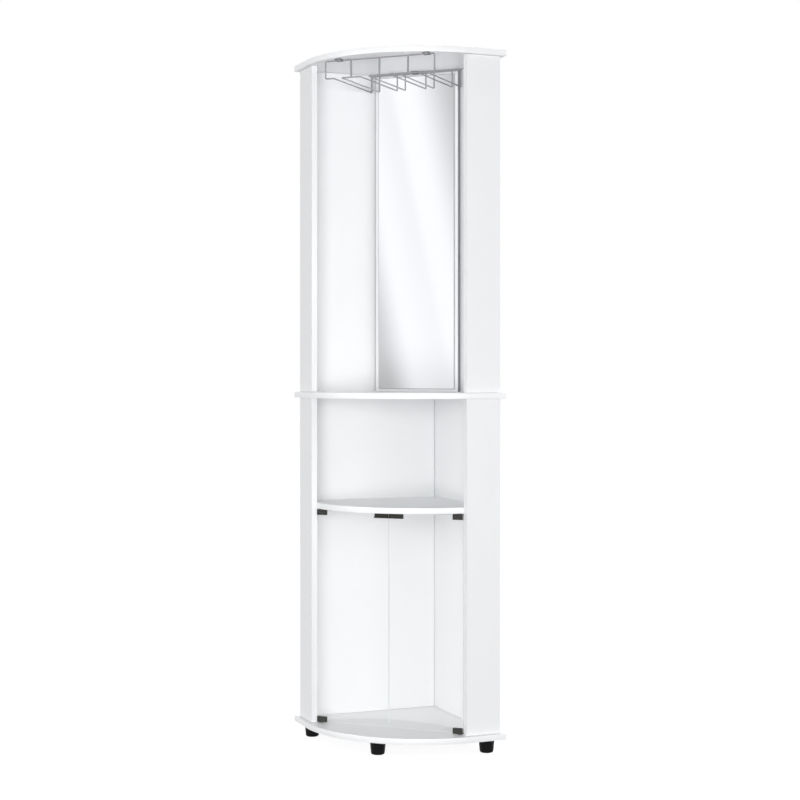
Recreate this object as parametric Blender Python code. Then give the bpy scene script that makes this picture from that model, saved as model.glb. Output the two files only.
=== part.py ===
"""Corner bar cabinet, 1.80 m tall, in white laminated board.

The cabinet stands in the corner of a room. Three equal boards, square with one corner rounded
off to the front, are joined by back walls that meet at a right angle and by narrow side panels.
The tall upper bay has a mirror across its corner and a wire rack that hangs stemmed glasses.
The middle bay is open, and the cupboard below has two glass doors on pivot hinges.

Metres, +Z up. The origin is on the floor, under the centre of the footprint, -Y is the front
and +Y points into the room's corner.
"""
import math

import bmesh
import bpy
from mathutils import Matrix, Vector

for old in list(bpy.data.objects):
    bpy.data.objects.remove(old, do_unlink=True)

# General fits
SEAT_GAP = 0.0003
OVERRUN = 0.002
SHARP_ANGLE = math.radians(40)
CORNER_STEPS = 6
ROUND_SIDES = 28
FASTENER_SIDES = 12

# Boards: the base, the middle and the top board share one outline
BOARD_THICKNESS = 0.015
BOARD_SIDE = 0.427
FRONT_RADIUS = 0.325
FRONT_STEPS = 32
BOARD_OVERHANG = 0.012
EDGE_ROUNDING = 0.0006

# Heights
FOOT_HEIGHT = 0.036
LOWER_PANEL_HEIGHT = 0.857
UPPER_PANEL_HEIGHT = 0.862
CUPBOARD_HEIGHT = 0.565

# Side panels and back walls
SIDE_PANEL_WIDTH = 0.095
SIDE_PANEL_THICKNESS = 0.015
BACK_WALL_THICKNESS = 0.015

# Shelf over the cupboard
SHELF_THICKNESS = 0.015
SHELF_FRONT_RADIUS = 0.290
SHELF_FRONT_STEPS = 20

# Mirror across the upper corner
MIRROR_BOARD_WIDTH = 0.241
MIRROR_BOARD_THICKNESS = 0.012
MIRROR_SIDE_BORDER = 0.0103
MIRROR_TOP_BORDER = 0.0110
MIRROR_BOTTOM_BORDER = 0.0076
MIRROR_THICKNESS = 0.003

# Glass doors
PANE_THICKNESS = 0.004
PANE_ARRIS = 0.0005
DOOR_MIDDLE_GAP = 0.0024

# Pivot hinges: a clip grips each outer corner of a pane and turns on a pin in a bush
CLIP_LENGTH = 0.028
CLIP_HEIGHT = 0.0142
CLIP_DEPTH = 0.010
CLIP_WALL = 0.0020
CLIP_CHAMFER = 0.0016
CLIP_SIDE_CLEARANCE = 0.0015
CLIP_BOARD_CLEARANCE = 0.0025
CLIP_POCKET_DEPTH = 0.0006
CLIP_POCKET_BORDER = 0.0025
PIVOT_INSET = 0.010
PIN_RADIUS = 0.0025
PIN_LENGTH = 0.0085
BUSH_RADIUS = 0.0040
BUSH_FLANGE_RADIUS = 0.0060
BUSH_FLANGE_THICKNESS = 0.0016
BUSH_DEPTH = 0.0085
SET_SCREW_RADIUS = 0.0020
SET_SCREW_SOCKET_SHARE = 0.5

# Door pulls: caps pushed over the free top corner of each pane, with a finger lip
PULL_LENGTH = 0.0393
PULL_HEIGHT = 0.0165
PULL_WALL = 0.0018
PULL_LIP_REACH = 0.0045
PULL_LIP_THICKNESS = 0.0040
PULL_RIB_REACH = 0.0030
PULL_RIB_THICKNESS = 0.0026
PULL_EDGE = 0.0008
PULL_MIDDLE_GAP = 0.0010

# Magnetic catch behind the pulls
CATCH_WIDTH = 0.046
CATCH_DEPTH = 0.013
CATCH_HEIGHT = 0.013
MAGNET_WIDTH = 0.015
MAGNET_HEIGHT = 0.008
MAGNET_DEPTH = 0.004
MAGNET_INSET = 0.0006

# Wire rack for stemmed glasses
RACK_WIRE = 0.0036
RACK_TEE_WIRE = 0.0036
RACK_TEE_DROP = 0.0048
RACK_REAR_BAR = 0.0050
RACK_DROP = 0.0450
RACK_SLOT = 0.0235
RACK_MIDDLE_TEE = 0.060
RACK_SIDE_TEE = 0.052
RACK_END_TEE = 0.023
RACK_DEPTH = 0.2442
RACK_BOARD_GAP = 0.0014
RACK_MIRROR_GAP = 0.0010
RACK_WALL_GAP = 0.0020
RACK_REAR_BAR_END = 0.0022
RACK_BEND = 0.0035
RACK_BEND_STEPS = 3
WIRE_BEVEL_STEPS = 2

# Clips that screw the rack to the top board, each with its screw in front of the bar
RACK_CLIP_WIDTH = 0.0175
RACK_CLIP_REACH = 0.014
RACK_CLIP_WALL = 0.0012
RACK_CLIP_PAD = 0.0034
RACK_CLIP_CHAMFER = 0.0008
LEFT_RACK_CLIP = 0.111
RIGHT_RACK_CLIP = 0.1325

# Feet
FOOT_TOP_RADIUS = 0.020
FOOT_BOTTOM_RADIUS = 0.0168
FOOT_ROUNDING = 0.005
FOOT_RIM_HEIGHT = 0.003
FOOT_INSET = 0.038
FOOT_WELL_RADIUS = 0.0055
FOOT_TOP_WALL = 0.008

# Screws
PANEL_SCREW_HEAD_RADIUS = 0.0048
PANEL_SCREW_HEAD_DEPTH = 0.0035
PANEL_SCREW_RADIUS = 0.0032
PANEL_SCREW_LENGTH = 0.050
PANEL_SCREW_TIP = 0.004
BACK_SCREW_MARGIN = 0.070
WOOD_SCREW_HEAD_RADIUS = 0.0038
WOOD_SCREW_HEAD_DEPTH = 0.0022
WOOD_SCREW_RADIUS = 0.0018
WOOD_SCREW_BITE = 0.010
WOOD_SCREW_TIP = 0.003

# Levels worked out from the heights above
BASE_BOTTOM = FOOT_HEIGHT
BASE_TOP = BASE_BOTTOM + BOARD_THICKNESS
SHELF_BOTTOM = BASE_TOP + CUPBOARD_HEIGHT
SHELF_TOP = SHELF_BOTTOM + SHELF_THICKNESS
MIDDLE_BOTTOM = BASE_TOP + LOWER_PANEL_HEIGHT
MIDDLE_TOP = MIDDLE_BOTTOM + BOARD_THICKNESS
TOP_BOTTOM = MIDDLE_TOP + UPPER_PANEL_HEIGHT
TOP_TOP = TOP_BOTTOM + BOARD_THICKNESS

# Plan: a runs along the right wall and b along the left wall, both from the boards' back corner
DIAGONAL = math.sqrt(2)
FOOTPRINT_DEPTH = BOARD_SIDE * DIAGONAL - FRONT_RADIUS * (DIAGONAL - 1)
WALL_BACK = BOARD_OVERHANG
WALL_FACE = WALL_BACK + BACK_WALL_THICKNESS
PANEL_OUTSIDE = BOARD_SIDE - BOARD_OVERHANG
PANEL_INSIDE = PANEL_OUTSIDE - SIDE_PANEL_THICKNESS
PANEL_FRONT = WALL_BACK + SIDE_PANEL_WIDTH


def plan(a, b):
    """Turn the two wall distances into x and y."""
    return ((a - b) / DIAGONAL, FOOTPRINT_DEPTH / 2 - (a + b) / DIAGONAL)


CORNER_Y = plan(WALL_FACE, WALL_FACE)[1]
PANEL_CORNER_X, PANEL_CORNER_Y = plan(PANEL_INSIDE, PANEL_FRONT)
DOOR_Y = PANEL_CORNER_Y


# Materials

def finish(name, colour, roughness, metallic=0.0, transmission=0.0):
    """Return a Principled material with one colour."""
    material = bpy.data.materials.new(name)
    material.use_nodes = True
    shader = material.node_tree.nodes["Principled BSDF"]
    shader.inputs["Base Color"].default_value = (*colour, 1.0)
    shader.inputs["Roughness"].default_value = roughness
    shader.inputs["Metallic"].default_value = metallic
    shader.inputs["Transmission Weight"].default_value = transmission
    material.diffuse_color = (*colour, 1.0 - 0.7 * transmission)
    return material


def white_board(name):
    return finish(name + "_laminate", (0.86, 0.86, 0.87), 0.38)


def clear_glass(name):
    return finish(name + "_glass", (0.92, 0.96, 0.95), 0.03, transmission=1.0)


def silvered_glass(name):
    return finish(name + "_mirror", (0.88, 0.89, 0.89), 0.03, metallic=1.0)


def dark_plastic(name):
    return finish(name + "_plastic", (0.05, 0.05, 0.055), 0.45)


def grey_plastic(name):
    return finish(name + "_grey_plastic", (0.20, 0.20, 0.21), 0.50)


def black_plastic(name):
    return finish(name + "_polypropylene", (0.012, 0.012, 0.014), 0.40)


def grey_wire(name):
    return finish(name + "_steel", (0.42, 0.43, 0.45), 0.32, metallic=0.8)


def zinc(name):
    return finish(name + "_zinc", (0.62, 0.62, 0.60), 0.35, metallic=1.0)


# Mesh tools

def add_object(name, mesh, material=None):
    """Link a mesh as a named piece. Without a material it is a cutter or a guide."""
    piece = bpy.data.objects.new(name, mesh)
    bpy.context.scene.collection.objects.link(piece)
    if material is None:
        piece.hide_render = True
        piece.display_type = "WIRE"
    else:
        mesh.materials.append(material)
    return piece


def mesh_from(name, shape):
    """Finish a bmesh with outward faces and return it as a mesh."""
    bmesh.ops.recalc_face_normals(shape, faces=shape.faces)
    mesh = bpy.data.meshes.new(name)
    shape.to_mesh(mesh)
    shape.free()
    return mesh


def extruded(name, profile, to_space, length):
    """Extrude a closed 2-D profile. to_space maps (u, v, w) to a point, w from 0 to length."""
    shape = bmesh.new()
    low = [shape.verts.new(to_space(u, v, 0)) for u, v in profile]
    high = [shape.verts.new(to_space(u, v, length)) for u, v in profile]
    shape.faces.new(low)
    shape.faces.new(high)
    count = len(profile)
    for i in range(count):
        j = (i + 1) % count
        shape.faces.new((low[i], low[j], high[j], high[i]))
    return mesh_from(name, shape)


def upright(name, outline, bottom, top):
    """Extrude a plan outline between two levels."""
    return extruded(name, outline, lambda u, v, w: (u, v, bottom + w), top - bottom)


def along_x(name, profile, left, right):
    """Extrude a (y, z) profile between two x values."""
    return extruded(name, profile, lambda u, v, w: (left + w, u, v), right - left)


def box(name, low, high):
    """Box between two corners."""
    outline = [(low[0], low[1]), (high[0], low[1]), (high[0], high[1]), (low[0], high[1])]
    return upright(name, outline, low[2], high[2])


def turned(name, profile, sides):
    """Turn a profile of (radius, z), from one point on the axis to another."""
    shape = bmesh.new()
    rings = []
    for radius, z in profile:
        if radius == 0:
            rings.append([shape.verts.new((0, 0, z))])
        else:
            angles = [2 * math.pi * i / sides for i in range(sides)]
            rings.append([shape.verts.new((radius * math.cos(t), radius * math.sin(t), z))
                          for t in angles])
    for lower, upper in zip(rings, rings[1:]):
        for i in range(sides):
            j = (i + 1) % sides
            corners = [lower[i % len(lower)], lower[j % len(lower)],
                       upper[j % len(upper)], upper[i % len(upper)]]
            unique = [v for k, v in enumerate(corners) if v not in corners[:k]]
            shape.faces.new(unique)
    return mesh_from(name, shape)


def soften(mesh, width, uprights=True):
    """Bevel the sharp edges of a mesh, with or without its upright ones."""
    shape = bmesh.new()
    shape.from_mesh(mesh)
    sharp = [e for e in shape.edges if e.calc_face_angle() > SHARP_ANGLE]
    if not uprights:
        sharp = [e for e in sharp if abs(e.verts[0].co.z - e.verts[1].co.z) < SEAT_GAP]
    bmesh.ops.bevel(shape, geom=sharp, offset=width, segments=1, affect="EDGES", profile=0.5)
    shape.to_mesh(mesh)
    shape.free()
    return mesh


def moved(mesh, x=0.0, y=0.0, z=0.0, flip=False):
    """Move a mesh, after turning it upside down where flip is set."""
    if flip:
        mesh.transform(Matrix.Rotation(math.pi, 4, "X"))
    mesh.transform(Matrix.Translation((x, y, z)))
    return mesh


def joined(name, meshes):
    """Put separate meshes into one, for a cutter."""
    shape = bmesh.new()
    for mesh in meshes:
        shape.from_mesh(mesh)
    whole = bpy.data.meshes.new(name)
    shape.to_mesh(whole)
    shape.free()
    return whole


def boolean(piece, operand, operation):
    """Add an exact Boolean modifier."""
    step = piece.modifiers.new(operand.name, "BOOLEAN")
    step.operation = operation
    step.solver = "EXACT"
    step.object = operand


def cut(piece, name, meshes):
    """Cut a group of separate meshes out of a piece."""
    boolean(piece, add_object(name, joined(name, meshes)), "DIFFERENCE")


def fuse(piece, name, mesh):
    """Join a mesh to a piece as one body."""
    boolean(piece, add_object(name, mesh), "UNION")


def round_hole(x, y, low, high, radius):
    """Cutter for a round hole between two levels."""
    mesh = turned("hole", [(0, low), (radius, low), (radius, high), (0, high)], FASTENER_SIDES)
    return moved(mesh, x, y)


def smooth(piece):
    """Shade the round faces of a piece smooth."""
    piece.data.shade_smooth()
    piece.data.set_sharp_from_angle(angle=SHARP_ANGLE)
    return piece


# Screws

def panel_screw_profile():
    """Furniture screw, pointing down, with its head's top face at zero."""
    return [(0, -PANEL_SCREW_LENGTH),
            (PANEL_SCREW_RADIUS / 2, -PANEL_SCREW_LENGTH),
            (PANEL_SCREW_RADIUS, -PANEL_SCREW_LENGTH + PANEL_SCREW_TIP),
            (PANEL_SCREW_RADIUS, -PANEL_SCREW_HEAD_DEPTH),
            (PANEL_SCREW_HEAD_RADIUS, -PANEL_SCREW_HEAD_DEPTH / 2),
            (PANEL_SCREW_HEAD_RADIUS, 0),
            (0, 0)]


def panel_screw_hole(x, y, head_level, upward):
    """Cutter for a furniture screw, a little larger all over than the screw."""
    radius = PANEL_SCREW_RADIUS + SEAT_GAP
    head = PANEL_SCREW_HEAD_RADIUS + SEAT_GAP
    profile = [(0, -PANEL_SCREW_LENGTH - SEAT_GAP),
               (radius, -PANEL_SCREW_LENGTH - SEAT_GAP),
               (radius, -PANEL_SCREW_HEAD_DEPTH - SEAT_GAP),
               (head, -PANEL_SCREW_HEAD_DEPTH / 2 - SEAT_GAP),
               (head, OVERRUN),
               (0, OVERRUN)]
    mesh = turned("screw_hole", profile, FASTENER_SIDES)
    return moved(mesh, x, y, head_level, flip=upward)


def wood_screw_profile(through):
    """Small countersunk screw, pointing up, that passes a piece of the given thickness."""
    length = through + WOOD_SCREW_BITE
    return [(0, 0),
            (WOOD_SCREW_HEAD_RADIUS, 0),
            (WOOD_SCREW_RADIUS, WOOD_SCREW_HEAD_DEPTH),
            (WOOD_SCREW_RADIUS, length - WOOD_SCREW_TIP),
            (0, length)]


def wood_screw_hole(through, well, well_radius):
    """Cutter for a small screw with a well of the given depth under its head."""
    shank = WOOD_SCREW_RADIUS + SEAT_GAP
    head = well_radius
    sink = WOOD_SCREW_HEAD_RADIUS + SEAT_GAP
    seat = SEAT_GAP + WOOD_SCREW_HEAD_DEPTH
    profile = [(0, -well - OVERRUN), (head, -well - OVERRUN)]
    if well > 0:
        profile.append((head, 0))
    profile += [(sink, 0), (shank, seat), (shank, through + OVERRUN), (0, through + OVERRUN)]
    return turned("small_screw_hole", profile, FASTENER_SIDES)


SIDE_SCREW_B = WALL_BACK + SIDE_PANEL_WIDTH / 2
SIDE_SCREW_A = (PANEL_INSIDE + PANEL_OUTSIDE) / 2
WALL_MIDDLE = (WALL_BACK + WALL_FACE) / 2
SCREW_PLACES = {
    "right_side": [(SIDE_SCREW_A, SIDE_SCREW_B)],
    "left_side": [(SIDE_SCREW_B, SIDE_SCREW_A)],
    "right_back": [(WALL_FACE + BACK_SCREW_MARGIN, WALL_MIDDLE),
                   (PANEL_INSIDE - BACK_SCREW_MARGIN, WALL_MIDDLE)],
    "left_back": [(WALL_MIDDLE, WALL_FACE + BACK_SCREW_MARGIN),
                  (WALL_MIDDLE, PANEL_INSIDE - BACK_SCREW_MARGIN)],
}


def screw_holes(panel, head_level, upward):
    """Cutters for the screws that hold one panel to the top or base board."""
    return [panel_screw_hole(*plan(a, b), head_level, upward) for a, b in SCREW_PLACES[panel]]


# The three main boards

def board_outline():
    """Square with its front corner rounded, as plan points from the back corner."""
    centre = BOARD_SIDE - FRONT_RADIUS
    corners = [(0, 0), (BOARD_SIDE, 0)]
    for i in range(FRONT_STEPS + 1):
        turn = math.pi / 2 * i / FRONT_STEPS
        corners.append((centre + FRONT_RADIUS * math.cos(turn),
                        centre + FRONT_RADIUS * math.sin(turn)))
    corners.append((0, BOARD_SIDE))
    return [plan(a, b) for a, b in corners]


def main_board(name, bottom):
    """One of the three equal boards, with its edge band slightly rounded."""
    mesh = upright(name, board_outline(), bottom, bottom + BOARD_THICKNESS)
    soften(mesh, EDGE_ROUNDING, uprights=False)
    return add_object(name, mesh, white_board(name))


base_board = main_board("base_board", BASE_BOTTOM)
middle_board = main_board("middle_board", MIDDLE_BOTTOM)
top_board = main_board("top_board", TOP_BOTTOM)

FOOT_A = BOARD_SIDE - FOOT_INSET
FRONT_FOOT_Y = -FOOTPRINT_DEPTH / 2 + FOOT_INSET
FOOT_PLACES = {
    "right_foot": plan(FOOT_A, FOOT_INSET),
    "left_foot": plan(FOOT_INSET, FOOT_A),
    "rear_foot": plan(FOOT_INSET, FOOT_INSET),
    "front_foot": (0.0, FRONT_FOOT_Y),
}
FOOT_SCREW_LEVEL = FOOT_HEIGHT - SEAT_GAP - FOOT_TOP_WALL
PIVOT_X = PANEL_CORNER_X - CLIP_SIDE_CLEARANCE - PIVOT_INSET

foot_pilots = [moved(wood_screw_hole(FOOT_TOP_WALL + WOOD_SCREW_BITE, 0, WOOD_SCREW_RADIUS),
                     x, y, FOOT_SCREW_LEVEL) for x, y in FOOT_PLACES.values()]
base_screws = [hole for panel in SCREW_PLACES for hole in screw_holes(panel, BASE_BOTTOM, True)]
bush_sinks = [round_hole(side * PIVOT_X, DOOR_Y, BASE_TOP - BUSH_DEPTH - SEAT_GAP,
                         BASE_TOP + OVERRUN, BUSH_RADIUS + SEAT_GAP) for side in (-1, 1)]
cut(base_board, "base_board_holes", foot_pilots + base_screws + bush_sinks)


# Side panels and back walls

def wall_panel(name, corner_a, corner_b, bottom, top, screws):
    """Upright panel between two plan corners, drilled in its end for its screws."""
    (a0, a1), (b0, b1) = corner_a, corner_b
    outline = [plan(a0, b0), plan(a1, b0), plan(a1, b1), plan(a0, b1)]
    mesh = upright(name, outline, bottom + SEAT_GAP, top - SEAT_GAP)
    soften(mesh, EDGE_ROUNDING)
    panel = add_object(name, mesh, white_board(name))
    cut(panel, name + "_screw_holes", screws)
    return panel


PANEL_PLACES = {
    "right_side": ((PANEL_INSIDE, PANEL_OUTSIDE), (WALL_BACK, PANEL_FRONT)),
    "left_side": ((WALL_BACK, PANEL_FRONT), (PANEL_INSIDE, PANEL_OUTSIDE)),
    "right_back": ((WALL_BACK, PANEL_INSIDE - SEAT_GAP), (WALL_BACK, WALL_FACE)),
    "left_back": ((WALL_BACK, WALL_FACE), (WALL_FACE + SEAT_GAP, PANEL_INSIDE - SEAT_GAP)),
}
for panel_name, (span_a, span_b) in PANEL_PLACES.items():
    wall_panel(panel_name + "_lower", span_a, span_b, BASE_TOP, MIDDLE_BOTTOM,
               screw_holes(panel_name, BASE_BOTTOM, True))
    wall_panel(panel_name + "_upper", span_a, span_b, MIDDLE_TOP, TOP_BOTTOM,
               screw_holes(panel_name, TOP_TOP, False))


def panel_screws(prefix, head_level, upward):
    """The furniture screws of the top or the base board."""
    for panel, places in SCREW_PLACES.items():
        for number, (a, b) in enumerate(places, 1):
            name = f"{prefix}_{panel}_screw_{number}"
            mesh = turned(name, panel_screw_profile(), FASTENER_SIDES)
            x, y = plan(a, b)
            smooth(add_object(name, moved(mesh, x, y, head_level, flip=upward), zinc(name)))


panel_screws("top", TOP_TOP, False)
panel_screws("base", BASE_BOTTOM, True)


# Shelf over the cupboard

def shelf_outline():
    """Back corner, both walls, both side panels, and a bowed front between the panel fronts."""
    inner = WALL_FACE + SEAT_GAP
    outer = PANEL_INSIDE - SEAT_GAP
    end_x, end_y = plan(outer, PANEL_FRONT)
    centre_y = end_y + math.sqrt(SHELF_FRONT_RADIUS ** 2 - end_x ** 2)
    half_turn = math.asin(end_x / SHELF_FRONT_RADIUS)
    points = [plan(outer, inner), plan(inner, inner), plan(inner, outer)]
    for i in range(SHELF_FRONT_STEPS + 1):
        turn = -half_turn + 2 * half_turn * i / SHELF_FRONT_STEPS
        points.append((SHELF_FRONT_RADIUS * math.sin(turn),
                       centre_y - SHELF_FRONT_RADIUS * math.cos(turn)))
    return points


shelf_mesh = upright("cupboard_shelf", shelf_outline(), SHELF_BOTTOM, SHELF_TOP)
soften(shelf_mesh, EDGE_ROUNDING)
cupboard_shelf = add_object("cupboard_shelf", shelf_mesh, white_board("cupboard_shelf"))
cut(cupboard_shelf, "cupboard_shelf_holes",
    [round_hole(side * PIVOT_X, DOOR_Y, SHELF_BOTTOM - OVERRUN,
                SHELF_BOTTOM + BUSH_DEPTH + SEAT_GAP, BUSH_RADIUS + SEAT_GAP)
     for side in (-1, 1)])


# Mirror across the upper corner

MIRROR_BOARD_BACK = CORNER_Y - MIRROR_BOARD_WIDTH / 2 - SEAT_GAP * DIAGONAL
MIRROR_BOARD_FRONT = MIRROR_BOARD_BACK - MIRROR_BOARD_THICKNESS
MIRROR_BACK = MIRROR_BOARD_FRONT - SEAT_GAP
MIRROR_FRONT = MIRROR_BACK - MIRROR_THICKNESS

mirror_board_mesh = box("mirror_board",
                        (-MIRROR_BOARD_WIDTH / 2, MIRROR_BOARD_FRONT, MIDDLE_TOP + SEAT_GAP),
                        (MIRROR_BOARD_WIDTH / 2, MIRROR_BOARD_BACK, TOP_BOTTOM - SEAT_GAP))
soften(mirror_board_mesh, EDGE_ROUNDING)
add_object("mirror_board", mirror_board_mesh, white_board("mirror_board"))

MIRROR_HALF = MIRROR_BOARD_WIDTH / 2 - MIRROR_SIDE_BORDER
mirror_mesh = box("mirror_glass",
                  (-MIRROR_HALF, MIRROR_FRONT, MIDDLE_TOP + MIRROR_BOTTOM_BORDER),
                  (MIRROR_HALF, MIRROR_BACK, TOP_BOTTOM - MIRROR_TOP_BORDER))
soften(mirror_mesh, PANE_ARRIS)
add_object("mirror_glass", mirror_mesh, silvered_glass("mirror_glass"))


# Doors, as they stand when closed

def door_empty(side_name, side):
    """Empty on the hinge axis that carries a door's pieces."""
    hinge = bpy.data.objects.new(side_name + "_door_axis", None)
    hinge.location = (side * PIVOT_X, DOOR_Y, BASE_TOP)
    bpy.context.scene.collection.objects.link(hinge)
    return hinge


def hang(piece, hinge):
    """Put a piece made in world places on its hinge axis without moving it."""
    piece.parent = hinge
    piece.matrix_parent_inverse = Matrix.Translation(-hinge.location)
    return piece


PANE_OUTER_X = PANEL_CORNER_X - CLIP_SIDE_CLEARANCE
PANE_INNER_X = DOOR_MIDDLE_GAP / 2
PANE_BOTTOM = BASE_TOP + CLIP_BOARD_CLEARANCE + CLIP_WALL + SEAT_GAP
PANE_TOP = SHELF_BOTTOM - CLIP_BOARD_CLEARANCE - CLIP_WALL - SEAT_GAP
PANE_SLOT = PANE_THICKNESS + 2 * SEAT_GAP


def door_pane(side_name, side, hinge):
    """Clear pane with ground edges."""
    name = side_name + "_door_glass"
    ends = sorted((side * PANE_INNER_X, side * PANE_OUTER_X))
    mesh = box(name, (ends[0], DOOR_Y - PANE_THICKNESS / 2, PANE_BOTTOM),
               (ends[1], DOOR_Y + PANE_THICKNESS / 2, PANE_TOP))
    soften(mesh, PANE_ARRIS)
    hang(add_object(name, mesh, clear_glass(name)), hinge)


def clip_outline(side):
    """Plan of a hinge clip, with chamfered upright corners."""
    outer, inner = side * PANE_OUTER_X, side * (PANE_OUTER_X - CLIP_LENGTH)
    step = side * CLIP_CHAMFER
    front, back = DOOR_Y - CLIP_DEPTH / 2, DOOR_Y + CLIP_DEPTH / 2
    return [(outer - step, front), (outer, front + CLIP_CHAMFER), (outer, back - CLIP_CHAMFER),
            (outer - step, back), (inner + step, back), (inner, back - CLIP_CHAMFER),
            (inner, front + CLIP_CHAMFER), (inner + step, front)]


def hinge_clip(side_name, side, level_name, hinge):
    """Clip on a pane's corner, with its pin, its set screw's hole and a shallow front pocket."""
    at_top = level_name == "top"
    name = f"{side_name}_door_{level_name}_clip"
    bottom = BASE_TOP + CLIP_BOARD_CLEARANCE
    if at_top:
        bottom = SHELF_BOTTOM - CLIP_BOARD_CLEARANCE - CLIP_HEIGHT
    top = bottom + CLIP_HEIGHT
    clip = add_object(name, upright(name, clip_outline(side), bottom, top), dark_plastic(name))

    ends = sorted((side * (PANE_OUTER_X + OVERRUN), side * (PANE_OUTER_X - CLIP_LENGTH - OVERRUN)))
    slot_low = bottom - OVERRUN if at_top else bottom + CLIP_WALL
    slot_high = top - CLIP_WALL if at_top else top + OVERRUN
    slot = box("slot", (ends[0], DOOR_Y - PANE_SLOT / 2, slot_low),
               (ends[1], DOOR_Y + PANE_SLOT / 2, slot_high))
    cut(clip, name + "_slot", [slot])

    ends = sorted((side * (PANE_OUTER_X - CLIP_POCKET_BORDER),
                   side * (PANE_OUTER_X - CLIP_LENGTH + CLIP_POCKET_BORDER)))
    front = DOOR_Y - CLIP_DEPTH / 2
    pocket = box("pocket", (ends[0], front - OVERRUN, bottom + CLIP_POCKET_BORDER),
                 (ends[1], front + CLIP_POCKET_DEPTH, top - CLIP_POCKET_BORDER))
    cut(clip, name + "_pocket", [pocket])

    screw_x, screw_z = set_screw_place(side, bottom)
    hole = turned("hole", [(0, PANE_SLOT / 4), (SET_SCREW_RADIUS + SEAT_GAP, PANE_SLOT / 4),
                           (SET_SCREW_RADIUS + SEAT_GAP, CLIP_DEPTH), (0, CLIP_DEPTH)],
                  FASTENER_SIDES)
    hole.transform(Matrix.Rotation(-math.pi / 2, 4, "X"))
    cut(clip, name + "_screw_hole", [moved(hole, screw_x, DOOR_Y, screw_z)])

    pin = turned("pin", [(0, -CLIP_WALL / 2), (PIN_RADIUS, -CLIP_WALL / 2),
                         (PIN_RADIUS, PIN_LENGTH), (0, PIN_LENGTH)], FASTENER_SIDES)
    fuse(clip, name + "_pin",
         moved(pin, side * PIVOT_X, DOOR_Y, top if at_top else bottom, flip=not at_top))
    hang(smooth(clip), hinge)
    set_screw(side_name, side, level_name, bottom, hinge)


def set_screw_place(side, clip_bottom):
    """Middle of a clip's back face."""
    return side * (PANE_OUTER_X - CLIP_LENGTH / 2), clip_bottom + CLIP_HEIGHT / 2


def set_screw(side_name, side, level_name, clip_bottom, hinge):
    """Grub screw in the clip's back wall, which presses on the pane."""
    name = f"{side_name}_door_{level_name}_set_screw"
    start = PANE_THICKNESS / 2 + SEAT_GAP
    end = CLIP_DEPTH / 2
    socket = SET_SCREW_RADIUS * SET_SCREW_SOCKET_SHARE
    middle = (start + end) / 2
    profile = [(0, start), (SET_SCREW_RADIUS, start), (SET_SCREW_RADIUS, end), (socket, end),
               (socket, middle), (0, middle)]
    mesh = turned(name, profile, FASTENER_SIDES)
    mesh.transform(Matrix.Rotation(-math.pi / 2, 4, "X"))
    x, z = set_screw_place(side, clip_bottom)
    hang(smooth(add_object(name, moved(mesh, x, DOOR_Y, z), zinc(name))), hinge)


def pivot_bush(side_name, side, level_name):
    """Flanged nylon bush, open towards the clip, for the hinge pin."""
    name = f"{side_name}_{level_name}_pivot_bush"
    bore = PIN_RADIUS + SEAT_GAP
    floor = PIN_LENGTH - CLIP_BOARD_CLEARANCE + SEAT_GAP
    lift = SEAT_GAP
    profile = [(0, -BUSH_DEPTH), (BUSH_RADIUS, -BUSH_DEPTH), (BUSH_RADIUS, lift),
               (BUSH_FLANGE_RADIUS, lift), (BUSH_FLANGE_RADIUS, lift + BUSH_FLANGE_THICKNESS),
               (bore, lift + BUSH_FLANGE_THICKNESS), (bore, -floor), (0, -floor)]
    at_top = level_name == "top"
    level = SHELF_BOTTOM if at_top else BASE_TOP
    mesh = moved(turned(name, profile, FASTENER_SIDES), side * PIVOT_X, DOOR_Y, level, flip=at_top)
    smooth(add_object(name, mesh, black_plastic(name)))


def door_pull(side_name, side, hinge):
    """Cap over the pane's free top corner, with a finger lip below and a rib above."""
    name = side_name + "_door_pull"
    top = PANE_TOP + SEAT_GAP + PULL_WALL
    bottom = top - PULL_HEIGHT
    face = DOOR_Y - PANE_SLOT / 2 - PULL_WALL
    back = DOOR_Y + PANE_SLOT / 2 + PULL_WALL
    rib = face - PULL_RIB_REACH
    lip = face - PULL_LIP_REACH
    lip_top = bottom + PULL_LIP_THICKNESS
    profile = [(back, bottom), (back, top), (rib, top), (rib, top - PULL_RIB_THICKNESS),
               (face, top - PULL_RIB_THICKNESS - PULL_EDGE), (face, lip_top + PULL_EDGE),
               (face - PULL_EDGE, lip_top), (lip + PULL_EDGE, lip_top), (lip, lip_top - PULL_EDGE),
               (lip, bottom + PULL_EDGE), (lip + PULL_EDGE, bottom)]
    ends = sorted((side * PULL_MIDDLE_GAP / 2, side * (PULL_MIDDLE_GAP / 2 + PULL_LENGTH)))
    pull = add_object(name, along_x(name, profile, *ends), dark_plastic(name))
    slot = box("slot", (ends[0] - OVERRUN, DOOR_Y - PANE_SLOT / 2, bottom - OVERRUN),
               (ends[1] + OVERRUN, DOOR_Y + PANE_SLOT / 2, PANE_TOP + SEAT_GAP))
    cut(pull, name + "_slot", [slot])
    hang(pull, hinge)


for door_side_name, door_side in (("left", -1), ("right", 1)):
    door_hinge = door_empty(door_side_name, door_side)
    door_pane(door_side_name, door_side, door_hinge)
    for hinge_level in ("top", "bottom"):
        hinge_clip(door_side_name, door_side, hinge_level, door_hinge)
        pivot_bush(door_side_name, door_side, hinge_level)
    door_pull(door_side_name, door_side, door_hinge)


# Magnetic catch under the shelf, which the pulls' back walls close against

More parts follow.
